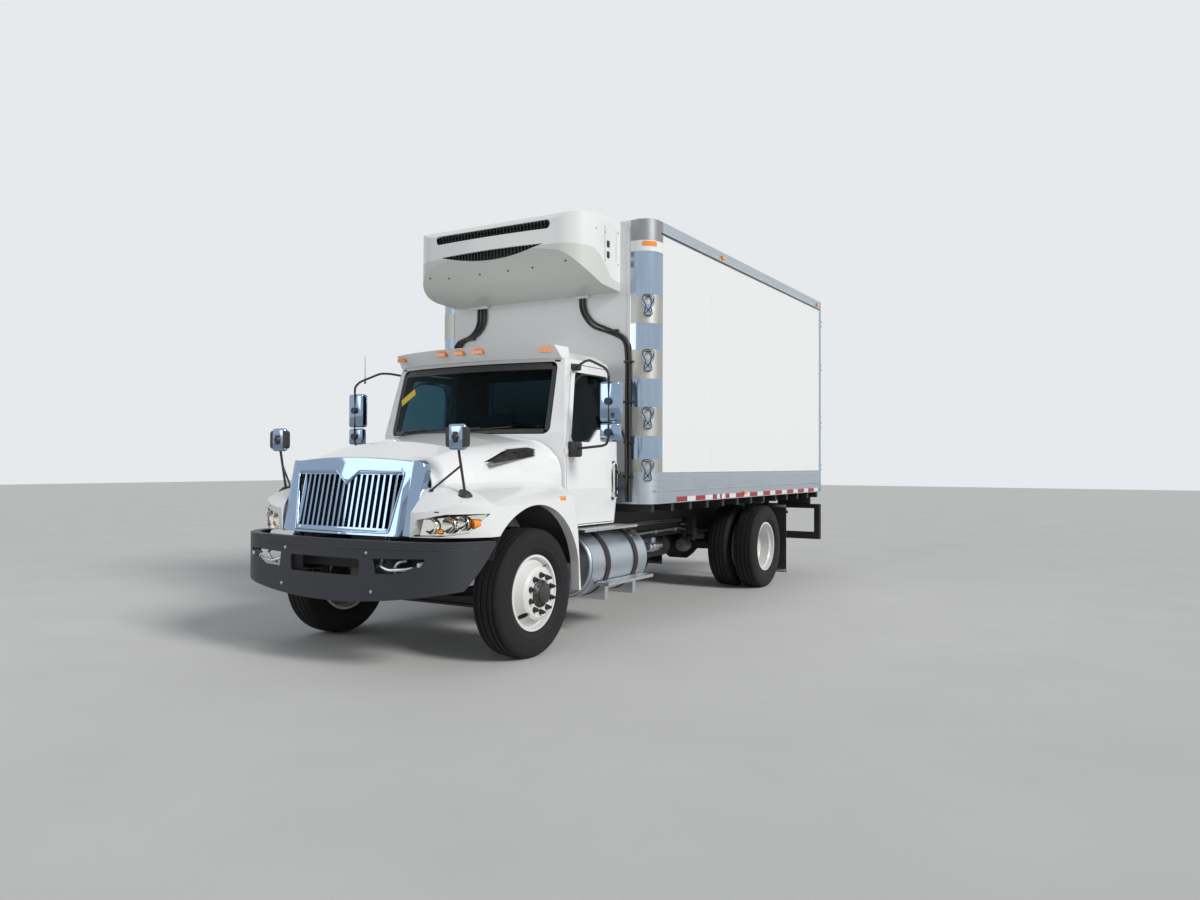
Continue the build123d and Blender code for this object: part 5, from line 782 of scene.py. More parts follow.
# %% Door handles, window edges and grab rails
WINDOW_EDGE = [(0.668, 1.706), (0.86, 2.32), (1.425, 2.32), (1.435, 1.83), (1.13, 1.82), (0.99, 1.706)]
GRAB_RAIL = ((0.99, 1.492, 1.835), (1.052, 1.505, 1.838), (1.062, 1.572, 1.73), (1.062, 1.578, 1.31),
             (1.0, 1.525, 1.255))
HANDLE_Y = at(1.395)
for s, side in SIDES:
    door = "door_" + side
    handle = bmesh.new()
    draped(handle, door, lambda u, v: (s * 3.0, at(1.393) + 0.038 * (2 * u - 1) * sin(pi * (0.08 + 0.84 * v)) ** 0.4,
                                       1.188 + 0.354 * v), 4, 14, (-s, 0, 0), 0.003, s * -0.006)
    grip_x = side_x(door, s, at(1.393), 1.36)
    tube(handle, [(grip_x, HANDLE_Y, 1.275), (grip_x + s * 0.026, HANDLE_Y, 1.3),
                  (grip_x + s * 0.028, HANDLE_Y, 1.43), (grip_x, HANDLE_Y, 1.465)], 0.011, sides=10)
    rod(handle, (grip_x, HANDLE_Y, 1.225), (grip_x + s * 0.012, HANDLE_Y, 1.225), 0.013, 0.011)
    piece("door_handle_" + side, handle, "trim_black", door)
    edge = bmesh.new()
    line = []
    for y, z in WINDOW_EDGE + WINDOW_EDGE[:1]:
        inward = Vector((at(1.1) - at(y), 2.03 - z)).normalized() * 0.012
        near = side_x("door_glass_" + side, s, at(y) + inward.x, z + inward.y)
        line.append(Vector((near or s * 0.97, at(y) + inward.x, z + inward.y)))
    tube(edge, line, 0.008, sides=8)
    piece("window_edge_" + side, edge, "trim_black", door)
    rail = bmesh.new()
    tube(rail, placed(GRAB_RAIL, s), 0.0125, sides=12)
    piece("cab_grab_rail_" + side, rail, "trim_black", "root")

# %% Cab lining: dark moulded panels inside the back, roof and doors
lining = bmesh.new()
blocks(lining, ((-0.93, 1.44, 1.095, 0.93, 1.452, 1.87, 0.004), (-0.86, 1.44, 2.325, 0.86, 1.452, 2.395, 0.004)))
for s, side in SIDES:
    blocks(lining, ((0.47, 1.44, 1.87, 0.88, 1.452, 2.325, 0.004),), s)
blocks(lining, ((-0.84, 0.76, 2.392, 0.84, 1.44, 2.4, 0.003),))
for s, side in SIDES:
    blocks(lining, ((0.12, 0.775, 2.372, 0.76, 0.9, 2.388, 0.006),), s)
piece("cab_lining", lining, "trim_black", "root")
for s, side in SIDES:
    inner = bmesh.new()
    for vert in bmesh.ops.create_grid(inner, x_segments=6, y_segments=6, size=0.5)["verts"]:
        spot = Vector((0.0, at(0.66 + 0.78 * (vert.co.x + 0.5)), 1.03 + 0.64 * (vert.co.y + 0.5)))
        hit = skin_hit("door_" + side, spot, (s, 0, 0))
        vert.co = (hit if hit else Vector((s * 0.96, spot.y, spot.z))) - Vector((s * 0.006, 0, 0))
    bmesh.ops.solidify(inner, geom=inner.faces[:], thickness=0.003)
    blocks(inner, ((0.935, 1.02, 1.42, 0.895, 1.33, 1.462, 0.012, 3),), s)
    piece("door_lining_" + side, inner, "trim_grey", "door_" + side)

# %% Antenna
antenna = bmesh.new()
rod(antenna, (-1.32, at(0.6), 2.31), (-1.322, at(0.6), 2.56), 0.0035, 0.002, sides=8)
rod(antenna, (-1.32, at(0.6), 2.29), (-1.32, at(0.6), 2.345), 0.01, 0.006, sides=12)
piece("radio_antenna", antenna, "trim_black", "door_right")
print("cab dressed")

# %% [markdown]
# ## Hood and bumper trim
# A bright line edges the grille's opening. It is a tube through points found by rays, so it
# follows the bow and lean of the grille.

# %% Grille edge line
GRILLE_EDGE = [(-0.49, 1.002), (-0.562, 1.452), (-0.12, 1.456), (0.0, 1.363), (0.12, 1.456), (0.562, 1.452),
               (0.49, 1.002), (0.0, 1.0), (-0.49, 1.002)]
edge_line = bmesh.new()
line = []
for (x0, z0), (x1, z1) in zip(GRILLE_EDGE, GRILLE_EDGE[1:]):
    for part in range(6):
        x, z = x0 + (x1 - x0) * part / 6, z0 + (z1 - z0) * part / 6
        near = front_y("grille", x, z)
        if near is not None:
            line.append(Vector((x, near - 0.001, z)))
line.append(line[0])
tube(edge_line, line, 0.006, sides=8)
piece("grille_edge_line", edge_line, "bright_chrome", "hood")

# %% [markdown]
# The chrome surround of the grille is a plated moulding with soft outer corners. The CAD shell
# is right except for that, so a merged copy of its mesh is rounded along its outer front edge
# and stands in for the node. Weighted normals keep its broad faces flat beside the bevel.

# %% Grille with a rounded outer edge
RIM_BACK = at(-0.775)
surround = bmesh.new()
surround.from_mesh(nodes["grille"].data)
bmesh.ops.remove_doubles(surround, verts=surround.verts[:], dist=0.00001)
bmesh.ops.dissolve_limit(surround, angle_limit=radians(0.3), verts=surround.verts[:], edges=surround.edges[:])
outer = []
for edge in surround.edges:
    if len(edge.link_faces) != 2 or not edge.is_convex or edge.calc_face_angle() < radians(30):
        continue
    spots = [vert.co for vert in edge.verts]
    rim_side = all(abs(spot.x) > 0.668 and spot.y < RIM_BACK for spot in spots)
    rim_top = all(spot.z > max(1.5275, 1.558 - 0.087 * spot.x ** 2) and spot.y < RIM_BACK for spot in spots)
    if (rim_side or rim_top) and abs(spots[0].z - spots[1].z) + abs(spots[0].x - spots[1].x) > 0.012:
        outer.append(edge)
bmesh.ops.bevel(surround, geom=outer, offset=0.026, segments=4, affect="EDGES", profile=0.5, material=-1,
                clamp_overlap=True)
bmesh.ops.triangulate(surround, faces=[face for face in surround.faces if len(face.verts) > 4])
even = piece("grille_surround", surround, "bright_chrome", "hood", replaces=("grille",)).modifiers.new(
    "even_shading", "WEIGHTED_NORMAL")
even.keep_sharp = True
even.weight = 100
print("rounded edges of the surround:", len(outer))

# %% [markdown]
# Round bolts hold the bumper, a moulded crease runs along its top, and pale tow shackles show
# through its outer openings. All are bent or turned bars; the crease could be cut in the solid,
# but a fine bead catches the light in the same way.

# %% Bumper bolts, crease and tow shackles
SHACKLE_BOWS = ((0.012, ((0.5, -1.02, 0.812), (0.53, -1.062, 0.775), (0.61, -1.066, 0.752),
                         (0.72, -1.05, 0.76), (0.8, -1.02, 0.772))),
                (0.009, ((0.62, -1.01, 0.735), (0.65, -1.05, 0.77), (0.69, -1.045, 0.815),
                         (0.72, -1.0, 0.82))))
bolts = bmesh.new()
for s, side in SIDES:
    for x, z in ((0.425, 0.868), (0.47, 0.592)):
        turned(bolts, [(0.0, 0.014), (-0.003, 0.014), (-0.008, 0.01), (-0.01, 0.0)],
               (s * x, front_y("front_bumper", s * x, z), z), axis="Y", steps=16)
piece("bumper_bolts", bolts, "polished_steel", "root")
crease = bmesh.new()
spine = []
for count in range(27):
    x = -1.17 + 2.34 * count / 26
    near = front_y("front_bumper", x, 0.902)
    if near:
        spine.append((x, max(near, cad_box[0][1] + 0.0052), 0.902))
tube(crease, spine, 0.005, sides=8)
piece("bumper_crease", crease, "bumper_grey", "root")
shackles = bmesh.new()
for s, side in SIDES:
    for radius, bow in SHACKLE_BOWS:
        tube(shackles, placed(bow, s), radius, sides=10)
    rod(shackles, *placed(((0.868, -1.0, 0.8), (0.868, -1.04, 0.8)), s), 0.02, 0.016)
    rod(shackles, *placed(((0.868, -0.96, 0.8), (0.868, -1.0, 0.8)), s), 0.01)
piece("tow_shackles", shackles, "rail_aluminium", "root")

# %% [markdown]
# A dark slit above each headlamp, a raised rim round each hood vent and the valve stems of the
# front wheels are small, but the eye misses them. The rim follows the hood's skin by rays.

# %% Fender slits, rims of the hood vents and valve stems of the wheels
VENT_RIM = ((-0.3, 1.517), (-0.12, 1.59), (0.05, 1.647), (0.295, 1.668), (0.312, 1.655), (0.312, 1.58),
            (0.295, 1.566), (0.05, 1.543), (-0.2, 1.505), (-0.3, 1.517))
VALVE_STEM = ((1.15, 0.06, HUB_Z + 0.2), (1.175, 0.062, HUB_Z + 0.205), (1.196, 0.066, HUB_Z + 0.218))
for s, side in SIDES:
    slit = bmesh.new()
    draped(slit, "hood", lambda u, v: (s * (0.868 + 0.03 * u), -6.0, 1.16 + 0.008 * v), 4, 1, REARWARD, 0.0012,
           s * 0.001)
    piece("fender_slit_" + side, slit, "trim_black", "hood")
    edge = bmesh.new()
    ring = [(side_x("hood", s, at(y), z), at(y), z) for y, z in VENT_RIM]
    tube(edge, [(x - s * 0.002, y, z) for x, y, z in ring if x], 0.0055, sides=8)
    piece("hood_vent_edge_" + side, edge, "cab_white", "hood")
    stem = bmesh.new()
    tube(stem, placed(VALVE_STEM, s), 0.0045, sides=8)
    piece("valve_stem_" + side, stem, "nut_steel", "front_wheel_" + side)
print("hood trim done")

# %% [markdown]
# ## Cooling unit
# Air passes through two black slots in the unit's face. Each gets a black lining and a row of
# thin fins set back from the face. They could be a striped texture, but real fins change with
# the view, as louvres do.

# %% Air slots
UNIT_MID = -0.045
SLOT_Z, SLOT_EDGE_Z = 3.692, 3.738
UPPER_SLOT = ((-0.628, -0.041), (0.0, -0.041), (0.628, -0.041), (0.655, -0.03), (0.6685, 0.0), (0.655, 0.03),
              (0.628, 0.041), (0.0, 0.041), (-0.628, 0.041), (-0.655, 0.03), (-0.6685, 0.0), (-0.655, -0.03))
slots = bmesh.new()
rim = [slots.verts.new((UNIT_MID + x, at(0.955), SLOT_Z + z)) for x, z in UPPER_SLOT]
back = bmesh.ops.contextual_create(slots, geom=rim)["faces"][0]
bmesh.ops.translate(slots, verts=rim, vec=(0, 0.07, 0))
wall = bmesh.ops.extrude_edge_only(slots, edges=back.edges[:])["geom"]
for vert in [item for item in wall if isinstance(item, bmesh.types.BMVert)]:
    x, z = UNIT_MID + (vert.co.x - UNIT_MID) * 1.02, SLOT_Z + (vert.co.z - SLOT_Z) * 1.15
    vert.co.y = (front_y("reefer_unit", x, z) or vert.co.y - 0.05) + 0.004
bmesh.ops.solidify(slots, geom=slots.faces[:], thickness=0.0015)
for count in range(34):
    x = UNIT_MID - 0.64 + 1.28 * count / 33
    near = front_y("reefer_unit", x, SLOT_EDGE_Z) or at(0.94)
    half = 0.038 if abs(x - UNIT_MID) < 0.62 else 0.028
    block(slots, (x - 0.002, near + 0.012, SLOT_Z - half), (x + 0.002, near + 0.045, SLOT_Z + half))
for z in (3.675, 3.709):
    tube(slots, [(UNIT_MID + x, (front_y("reefer_unit", UNIT_MID + x, SLOT_EDGE_Z) or at(0.94)) + 0.014, z)
                 for x in (-0.62, -0.31, 0.0, 0.31, 0.62)], 0.0025, sides=6)
piece("unit_upper_slot", slots, "trim_black", "root")
lens_slot = bmesh.new()
for count in range(30):
    part = -0.94 + 1.88 * count / 29
    x = UNIT_MID + 0.6 * part
    drop = 0.078 * (1 - part * part)
    near = front_y("reefer_unit", x, 3.535) or at(0.93)
    block(lens_slot, (x - 0.024, near + 0.03, 3.519 - drop), (x + 0.024, near + 0.036, 3.522))
    block(lens_slot, (x - 0.002, near + 0.006, 3.516 - drop), (x + 0.002, near + 0.031, 3.521))
piece("unit_lower_slot", lens_slot, "trim_black", "root")

# %% [markdown]
# The unit's side covers meet in fine seams, are held by latches and screws, and its hoses run in
# clips down the front wall. The seams are thin sheets on the skin: a cut in the solid would be
# cleaner, but nothing else here needs one.

# %% Unit seams, latches, screws and hose clips
seams = bmesh.new()
for s, side in SIDES:
    for y, thickness in ((1.352, s * 0.0006), (1.56, s * -0.0006)):
        draped(seams, "reefer_unit", lambda u, v: (s * 3.0, at(y) + 0.003 * u, 3.42 + 0.3 * v), 1, 8, (-s, 0, 0),
               0.0008, thickness)
piece("unit_side_seams", seams, "trim_black", "root")
latches = bmesh.new()
for s, side in SIDES:
    for z in (3.56, 3.46):
        near = s * side_x("reefer_unit", s, at(1.41), z)
        blocks(latches, ((near, 1.39, z - 0.03, near + 0.01, 1.43, z + 0.03, 0.004),), s)
piece("unit_side_latches", latches, "trim_black", "root")
screws = bmesh.new()
for x, z in ((-0.622, 3.33), (-0.24, 3.33), (0.092, 3.33), (0.375, 3.33), (-0.85, 3.35), (0.75, 3.35)):
    near = front_y("reefer_cover", x, z)
    if near:
        rod(screws, (x, near + 0.002, z), (x, near - 0.004, z - 0.003), 0.01, 0.008, sides=12)
for s, side in SIDES:
    for y, z in ((1.36, 3.66), (1.36, 3.4), (1.6, 3.7), (1.6, 3.4), (1.2, 3.66)):
        near = side_x("reefer_unit", s, at(y), z)
        if near:
            rod(screws, (near, at(y), z), (near + s * 0.003, at(y), z), 0.008, 0.006, sides=10)
piece("unit_screws", screws, "nut_steel", "root")
plates = bmesh.new()
blocks(plates, ((-0.83, 1.6, 3.12, -0.6, 1.642, 3.152, 0.004), (0.47, 1.6, 3.12, 0.62, 1.642, 3.152, 0.004)))
piece("hose_entry_plates", plates, "unit_white", "root")
clips = bmesh.new()
for x, z in ((1.058, 2.48), (1.054, 2.1), (1.058, 1.72), (1.054, 1.4), (-1.02, 2.64), (-1.024, 2.3),
             (-1.02, 1.9), (-1.024, 1.5), (0.9, 2.785), (-0.85, 2.815)):
    half = 0.046 if x > 0 else 0.066
    blocks(clips, ((x - half, 1.608, z - 0.01, x + half, 1.6425, z + 0.01, 0.004),))
piece("hose_clips", clips, "trim_black", "root")
print("unit dressed")

# %% [markdown]
# ## Body trim
# The insulated body is riveted sheet between extruded rails, with rolled bright covers on its
# front corners. Each cover is an upright line spun round the corner and given a thickness, which
# follows the curve more evenly than bending a flat sheet.

# %% Corner plates, caps and marker lamps
finishes["plate_matte"] = metal_finish("matte_step_plate", (0.46, 0.46, 0.43), 0.46, 0.3, (30.0, 30.0, 8.0), bump=0.2)
finishes["cap_grey"] = dirty_finish("cast_cap_grey", (0.3, 0.31, 0.32), 0.38, 0.15, 5.0, metallic=0.7, bump=0.25,
                                    grain_scale=200)
CORNER_X, CORNER_Y, CORNER_RADIUS = 1.125, 1.81, 0.17
STEP_BANDS = ((2.84, 3.11), (2.318, 2.592), (1.78, 2.052), (1.442, 1.562))


def upright_spun(bm, s, radius, z0, z1, start, sweep, steps):
    """Upright line spun round a front corner of the body; gives its first and last edge."""
    centre = Vector((s * CORNER_X, at(CORNER_Y), 0.0))
    out = Vector((s * radius * sin(start), -radius * cos(start), 0.0))
    ends = [bm.verts.new(centre + out + Vector((0, 0, z))) for z in (z0, z1)]
    first = bm.edges.new(ends)
    spun = bmesh.ops.spin(bm, geom=[*ends, first], cent=centre, axis=(0, 0, 1), angle=s * sweep, steps=steps)
    return first, next(item for item in spun["geom_last"] if isinstance(item, bmesh.types.BMEdge))


def corner_cover(name, s, bands, proud, flats, thickness, finish):
    """Piece made of sheets wrapped round a corner, with flats along both walls."""
    bm = bmesh.new()
    for z0, z1 in bands:
        first, last = upright_spun(bm, s, CORNER_RADIUS + proud, z0, z1, 0.0, pi / 2, 10)
        for edge, way in ((first, (-s * flats, 0, 0)), (last, (0, flats, 0))):
            grown = bmesh.ops.extrude_edge_only(bm, edges=[edge])["geom"]
            bmesh.ops.translate(bm, verts=[item for item in grown if isinstance(item, bmesh.types.BMVert)], vec=way)
    sheet_piece(name, bm, thickness, finish)


def sheet_piece(name, bm, thickness, finish):
    """Piece made of a sheet that is first given its thickness."""
    bmesh.ops.recalc_face_normals(bm, faces=bm.faces[:])
    bmesh.ops.solidify(bm, geom=bm.faces[:], thickness=thickness)
    piece(name, bm, finish, "root")


for s, side in SIDES:
    corner_cover("step_plates_" + side, s, STEP_BANDS, 0.0022, 0.054, 0.0012, "plate_matte")
    corner_cover("corner_cap_cover_" + side, s, ((3.622, 3.82),), 0.003, 0.056, 0.0015, "cap_grey")
    corner_cover("lamp_collar_" + side, s, ((3.52, 3.622),), 0.0024, 0.052, 0.0012, "unit_white")
    lamp = bmesh.new()
    upright_spun(lamp, s, CORNER_RADIUS + 0.006, 3.568, 3.612, radians(22), radians(48), 8)
    sheet_piece("corner_marker_lamp_" + side, lamp, 0.01, "lamp_amber")

# %% [markdown]
# Rows of rivets hold the sheet, and a few fine ledges run along the rails to shed water. Each
# rivet is a cone of a few faces, because there are hundreds; an instance on points would weigh
# less, but would not export as plain geometry.

# %% Rivets, ledges and drip edges
RIVET = (0.0065, 0.0026)
WALL_X = 1.2948
RIVET_ROWS = ((1.2912, 1.905, 1.5, 1.905, 3.68, 36), (1.2912, 6.7, 1.5, 6.7, 3.68, 36),
              (1.2952, 1.92, 3.735, 6.7, 3.735, 48), (1.2952, 1.92, 1.412, 6.7, 1.412, 48))
SIDE_TRIM = (
    ("rail_ledges_", "rail_aluminium", ((WALL_X, 1.72, 1.258, 1.301, 6.735, 1.272, 0.003),
                                        (WALL_X, 1.87, 1.43, 1.2985, 6.735, 1.4385, 0.0015),
                                        (WALL_X, 1.72, 1.14, 1.2995, 6.735, 1.1465, 0.002))),
    ("top_drip_edge_", "trim_black", ((1.2945, 1.83, 3.703, 1.3035, 6.735, 3.716, 0.003),)),
    ("panel_joints_", "body_white", ((1.2905, 3.017, 3.292, 1.2918, 6.735, 3.2955),
                                     (1.2905, 3.015, 1.45, 1.2918, 3.0185, 3.295))),
)
for s, side in SIDES:
    rows = bmesh.new()
    for x, y0, z0, y1, z1, count in RIVET_ROWS:
        studs(rows, spread((s * x, at(y0), z0), (s * x, at(y1), z1), count), (s, 0, 0), *RIVET)
    studs(rows, spread((s * 1.045, at(1.6438), 1.5), (s * 1.045, at(1.6438), 3.68), 36), (0, -1, 0), *RIVET)
    piece("body_rivets_" + side, rows, "rail_aluminium", "root")
    for name, finish, bars in SIDE_TRIM:
        trim = bmesh.new()
        blocks(trim, bars, s)
        piece(name + side, trim, finish, "root")
front_joint = bmesh.new()
for s, side in SIDES:
    blocks(front_joint, ((1.066, 1.6415, 1.445, 1.03, 1.6445, 3.735, 0.001),), s)
piece("front_wall_joints", front_joint, "body_white", "root")

# %% [markdown]
# Reflecting tape along the sill warns other drivers at night, in turns of red and white. It is
# laid on as thin blocks, so that its edge shows; a stripe in the paint would be flat.

# %% Reflecting tape
finishes["tape_red"] = dirty_finish("tape_red_reflector", (0.3, 0.006, 0.014), 0.4, 0.04, 1.4, coat=0.2, bump=0.12,
                                    grain_scale=500)
finishes["tape_white"] = dirty_finish("tape_white_reflector", (0.74, 0.75, 0.76), 0.32, 0.12, 1.4, coat=0.6, bump=0.12,
                                      grain_scale=500)
RED_TAPE = ((2.18, 2.42), (2.62, 2.86), (3.05, 3.16), (3.24, 3.29), (3.39, 3.5), (3.69, 3.93), (4.11, 4.35),
            (4.54, 4.78), (4.96, 5.2), (5.39, 5.64), (5.82, 6.07), (6.25, 6.5))
NEXT_RED = [y0 for y0, y1 in RED_TAPE[1:]] + [6.68]
REAR_TAPE = (REAR_FACE + 0.0002, REAR_FACE + 0.0009)
for s, side in SIDES:
    red, white = bmesh.new(), bmesh.new()
    for (y0, y1), after in zip(RED_TAPE, NEXT_RED):
        blocks(red, ((1.2951, y0, 1.148, 1.2958, y1, 1.196),), s)
        blocks(white, ((1.2951, y1 + 0.001, 1.148, 1.2958, after - 0.001, 1.196),), s)
    for place in range(4):
        x = 0.1 + 0.28 * place
        blocks(red, ((x, REAR_TAPE[0], 1.15, x + 0.14, REAR_TAPE[1], 1.198),), s)
        blocks(white, ((x + 0.141, REAR_TAPE[0], 1.15, x + 0.279, REAR_TAPE[1], 1.198),), s)
    piece("red_tape_" + side, red, "tape_red", "root")
    piece("white_tape_" + side, white, "tape_white", "root")
print("body trimmed")

# %% [markdown]
# ## Rear end
# The rear follows the usual pattern of such a body: rubber round each door, a lock rod with its
# sleeves and handle, and rivets in the hinge straps. All are blocks and bars with soft edges.

# %% Rear doors
finishes["lamp_red"] = dirty_finish("red_lamp_plastic", (0.42, 0.01, 0.01), 0.16, 0.08, 1.0, coat=0.7, bump=0.12,
                                    grain_scale=260)
LOCK_X, LOCK_Y, HANDLE_X = 0.25, REAR_FACE + 0.022, 0.53
SEAL_FRONT, SEAL_BACK = REAR_FACE - 0.012, REAR_FACE + 0.003
for s, side in SIDES:
    door = "cargo_door_" + side
    lock = bmesh.new()
    rod(lock, *placed(((LOCK_X, LOCK_Y, 1.29), (LOCK_X, LOCK_Y, 3.712)), s), 0.0142, sides=18)
    for z in (1.42, 2.0, 2.7, 3.4):
        blocks(lock, ((LOCK_X - 0.038, REAR_FACE - 0.0005, z - 0.028, LOCK_X + 0.038, REAR_FACE + 0.026, z + 0.028,
                       0.006),), s)
        studs(lock, [(s * LOCK_X + shift, at(REAR_FACE + 0.025), z) for shift in (-0.029, 0.029)], REARWARD, 0.007,
              0.004)
    for z in (1.3, 3.7):
        blocks(lock, ((LOCK_X - 0.022, REAR_FACE + 0.006, z - 0.024, LOCK_X + 0.022, REAR_FACE + 0.038, z + 0.024,
                       0.006),), s)
    near, far = sorted((s * LOCK_X, s * 0.56))
    blocks(lock, ((near - 0.012, REAR_FACE + 0.012, 1.866, far + 0.006, REAR_FACE + 0.024, 1.898, 0.005),))
    blocks(lock, ((HANDLE_X - 0.03, REAR_FACE - 0.0005, 1.85, HANDLE_X + 0.03, REAR_FACE + 0.03, 1.914, 0.008),), s)
    piece("lock_rod_" + side, lock, "rail_aluminium", door)
    straps = bmesh.new()
    studs(straps, [(s * x, at(REAR_FACE + 0.0118), z + lift) for z in (1.48, 2.08, 2.9, 3.52)
                   for x in (0.925, 0.995, 1.065, 1.135) for lift in (-0.009, 0.009)], REARWARD, 0.0062, 0.004)
    piece("strap_rivets_" + side, straps, "rail_aluminium", door)
    seal = bmesh.new()
    blocks(seal, [(x0, SEAL_FRONT, z0, x1, SEAL_BACK, z1, 0.003) for x0, z0, x1, z1 in (
        (0.008, 1.2715, 1.208, 1.284), (0.008, 3.716, 1.208, 3.7285), (0.007, 1.284, 0.02, 3.716),
        (1.1965, 1.284, 1.2095, 3.716))], s)
    piece("cargo_door_seal_" + side, seal, "trim_black", door)

# %% [markdown]
# Red lamps stand in the header and under the sill, with a pale reversing lamp beside them and a
# blank plate between. A lamp is a turned lens, because its domed face shows at the edge.

# %% Rear lamps and plate
REAR_LENS = ((0.0, 0.056), (0.012, 0.056), (0.024, 0.04), (0.027, 0.0))
lamps, reverse = bmesh.new(), bmesh.new()
blocks(lamps, [(x - 0.05, REAR_FACE, 3.763, x + 0.05, REAR_FACE + 0.022, 3.797, 0.01, 3)
               for x in (-0.24, 0.0, 0.24, -1.1, 1.1)])
for s, side in SIDES:
    for bm, x in ((lamps, 0.9), (lamps, 1.06), (reverse, 0.74)):
        turned(bm, REAR_LENS, (s * x, at(6.848), 1.03), axis="Y", steps=24)
piece("rear_red_lamps", lamps, "lamp_red", "root")
piece("reversing_lamps", reverse, "unit_white", "root")
boxes = bmesh.new()
for s, side in SIDES:
    blocks(boxes, ((0.66, 6.796, 0.9602, 1.14, 6.85, 1.1, 0.008),), s)
blocks(boxes, ((-0.19, 6.835, 0.9602, 0.19, 6.845, 1.115, 0.004),))
piece("rear_lamp_boxes", boxes, "chassis_black", "root")
blank = bmesh.new()
blocks(blank, ((-0.152, 6.8452, 0.966, 0.152, 6.8475, 1.108, 0.001),))
piece("blank_rear_plate", blank, "body_white", "root")
print("rear dressed")

# %% [markdown]
# ## Tank, steps and running gear
# Chequer plate has raised lozenges in two directions. They are tiny four-sided cones, squashed
# along a diagonal, because at the step's edge a painted pattern would look flat.


# %% Chequer plate
def chequer(bm, low, high, z, pitch=0.034):
    """Raised lozenges over a level rectangle."""
    nx, ny = int((high[0] - low[0]) / pitch), int((high[1] - low[1]) / pitch)
    for i in range(nx):
        for j in range(ny):
            lean = 1 if (i + j) % 2 else -1
            spot = Vector((low[0] + (i + 0.5) * pitch, low[1] + (j + 0.5) * pitch, z + 0.0009))
            shape = Matrix.Translation(spot) @ Matrix.Rotation(lean * pi / 4, 4, "Z")
            bmesh.ops.create_cone(bm, cap_ends=True, segments=4, radius1=0.0165, radius2=0.0105, depth=0.0022,
                                  matrix=shape @ Matrix.Diagonal((1.0, 0.34, 1.0, 1.0)))


finishes["tread_bright"] = metal_finish("bright_tread_plate", (0.66, 0.67, 0.68), 0.3, 0.2, (40.0, 40.0, 40.0),
                                        bump=0.06)
nodes["cab_steps"].data.materials[0] = finishes["tread_bright"]
tread = bmesh.new()
for x0, y0, x1, y1, z in ((0.655, 0.775, 1.11, 1.69, 0.949), (1.05, 1.01, 1.205, 1.83, 0.476),
                          (-1.186, 0.815, -1.116, 1.49, 0.46), (-1.186, 0.815, -1.116, 1.49, 0.68)):
    chequer(tread, (x0, at(y0)), (x1, at(y1)), z)
piece("step_lozenges", tread, "tread_bright", "root")

# %% [markdown]
# The fuel tank's ends are seamed on and its filler has a screwed cap. Brake chambers, their rods
# and the lines along the frame fill the space under the body. All are turned or bent shapes.

# %% Fuel tank
TANK_X, TANK_Z = 0.8275, 0.625
tank = bmesh.new()
for y in (0.903, 1.885):
    turned(tank, [(-0.008, 0.288), (-0.006, 0.2935), (0.006, 0.2935), (0.008, 0.288)], (TANK_X, at(y), TANK_Z),
           axis="Y", steps=64)
piece("tank_end_seams", tank, "rail_aluminium", "root")
filler = bmesh.new()
turned(filler, [(0.268, 0.0), (0.268, 0.058), (0.3, 0.058), (0.306, 0.052), (0.318, 0.05), (0.322, 0.044),
                (0.322, 0.0)], (TANK_X + 0.16, at(1.8), TANK_Z - 0.06), axis="Z", steps=28)
piece("tank_filler", filler, "trim_black", "root")

# %% Brake cans and lines
cans = bmesh.new()
for s, side in SIDES:
    turned(cans, [(-0.085, 0.0), (-0.085, 0.052), (-0.07, 0.078), (-0.006, 0.08), (-0.004, 0.088), (0.004, 0.088),
                  (0.006, 0.08), (0.07, 0.078), (0.085, 0.052), (0.085, 0.0)], (s * 0.3, at(4.42), 0.52),
           axis="Y", steps=28)
    rod(cans, *placed(((0.3, 4.49, 0.52), (0.3, 4.64, 0.515)), s), 0.012)
piece("brake_cans", cans, "cast_metal", "root")
lines = bmesh.new()
for s, side in SIDES:
    for lift in (0.0, 0.022):
        run = ((0.442, 1.95, 0.845 + lift), (0.442, 3.3, 0.85 + lift), (0.442, 4.05, 0.838 + lift))
        tube(lines, placed(run, s), 0.007, sides=8)
piece("brake_lines", lines, "rail_aluminium", "root")
print("running gear dressed")

# %% [markdown]
# Folding steps on the body's front corner are bent from one steel bar each, with crossed
# stiffeners and a pivot. The outline is drawn flat on a plane that faces outwards at the corner,
# which is simpler than bending it in place.

# %% Wire loops of the folding steps
OUT_WAY, ROUND_WAY = (Vector((cos(radians(turn)), sin(radians(turn)), 0)) for turn in (-50, 40))
LOOP_HALF = ((0.0, 0.068), (0.04, 0.064), (0.058, 0.04), (0.05, 0.008), (0.022, -0.034), (0.03, -0.08),
             (0.04, -0.118), (0.02, -0.131))
LOOP = LOOP_HALF + tuple((-u, v) for u, v in reversed(LOOP_HALF))
loops = bmesh.new()
for z in (1.49, 1.98, 2.52, 3.04):
    heart = Vector((CORNER_X, at(CORNER_Y), z)) + OUT_WAY * (CORNER_RADIUS + 0.0205)

    def on_step(u, v):
        return heart + ROUND_WAY * u + Vector((0, 0, v))

    tube(loops, [on_step(u, v) for u, v in LOOP], 0.0045, sides=8)
    rod(loops, on_step(-0.024, -0.05), on_step(0.026, -0.112), 0.004, sides=8)
    rod(loops, on_step(0.024, -0.05), on_step(-0.026, -0.112), 0.004, sides=8)
    rod(loops, on_step(0, -0.082) - OUT_WAY * 0.004, on_step(0, -0.082) + OUT_WAY * 0.006, 0.011, 0.009, sides=16)
    block(loops, on_step(-0.03, 0.046) - Vector((0.004, 0.004, 0)), on_step(0.03, 0.054) + Vector((0.004, 0.004, 0)),
          0.002)
piece("folding_step_loops", loops, "nut_steel", "root")

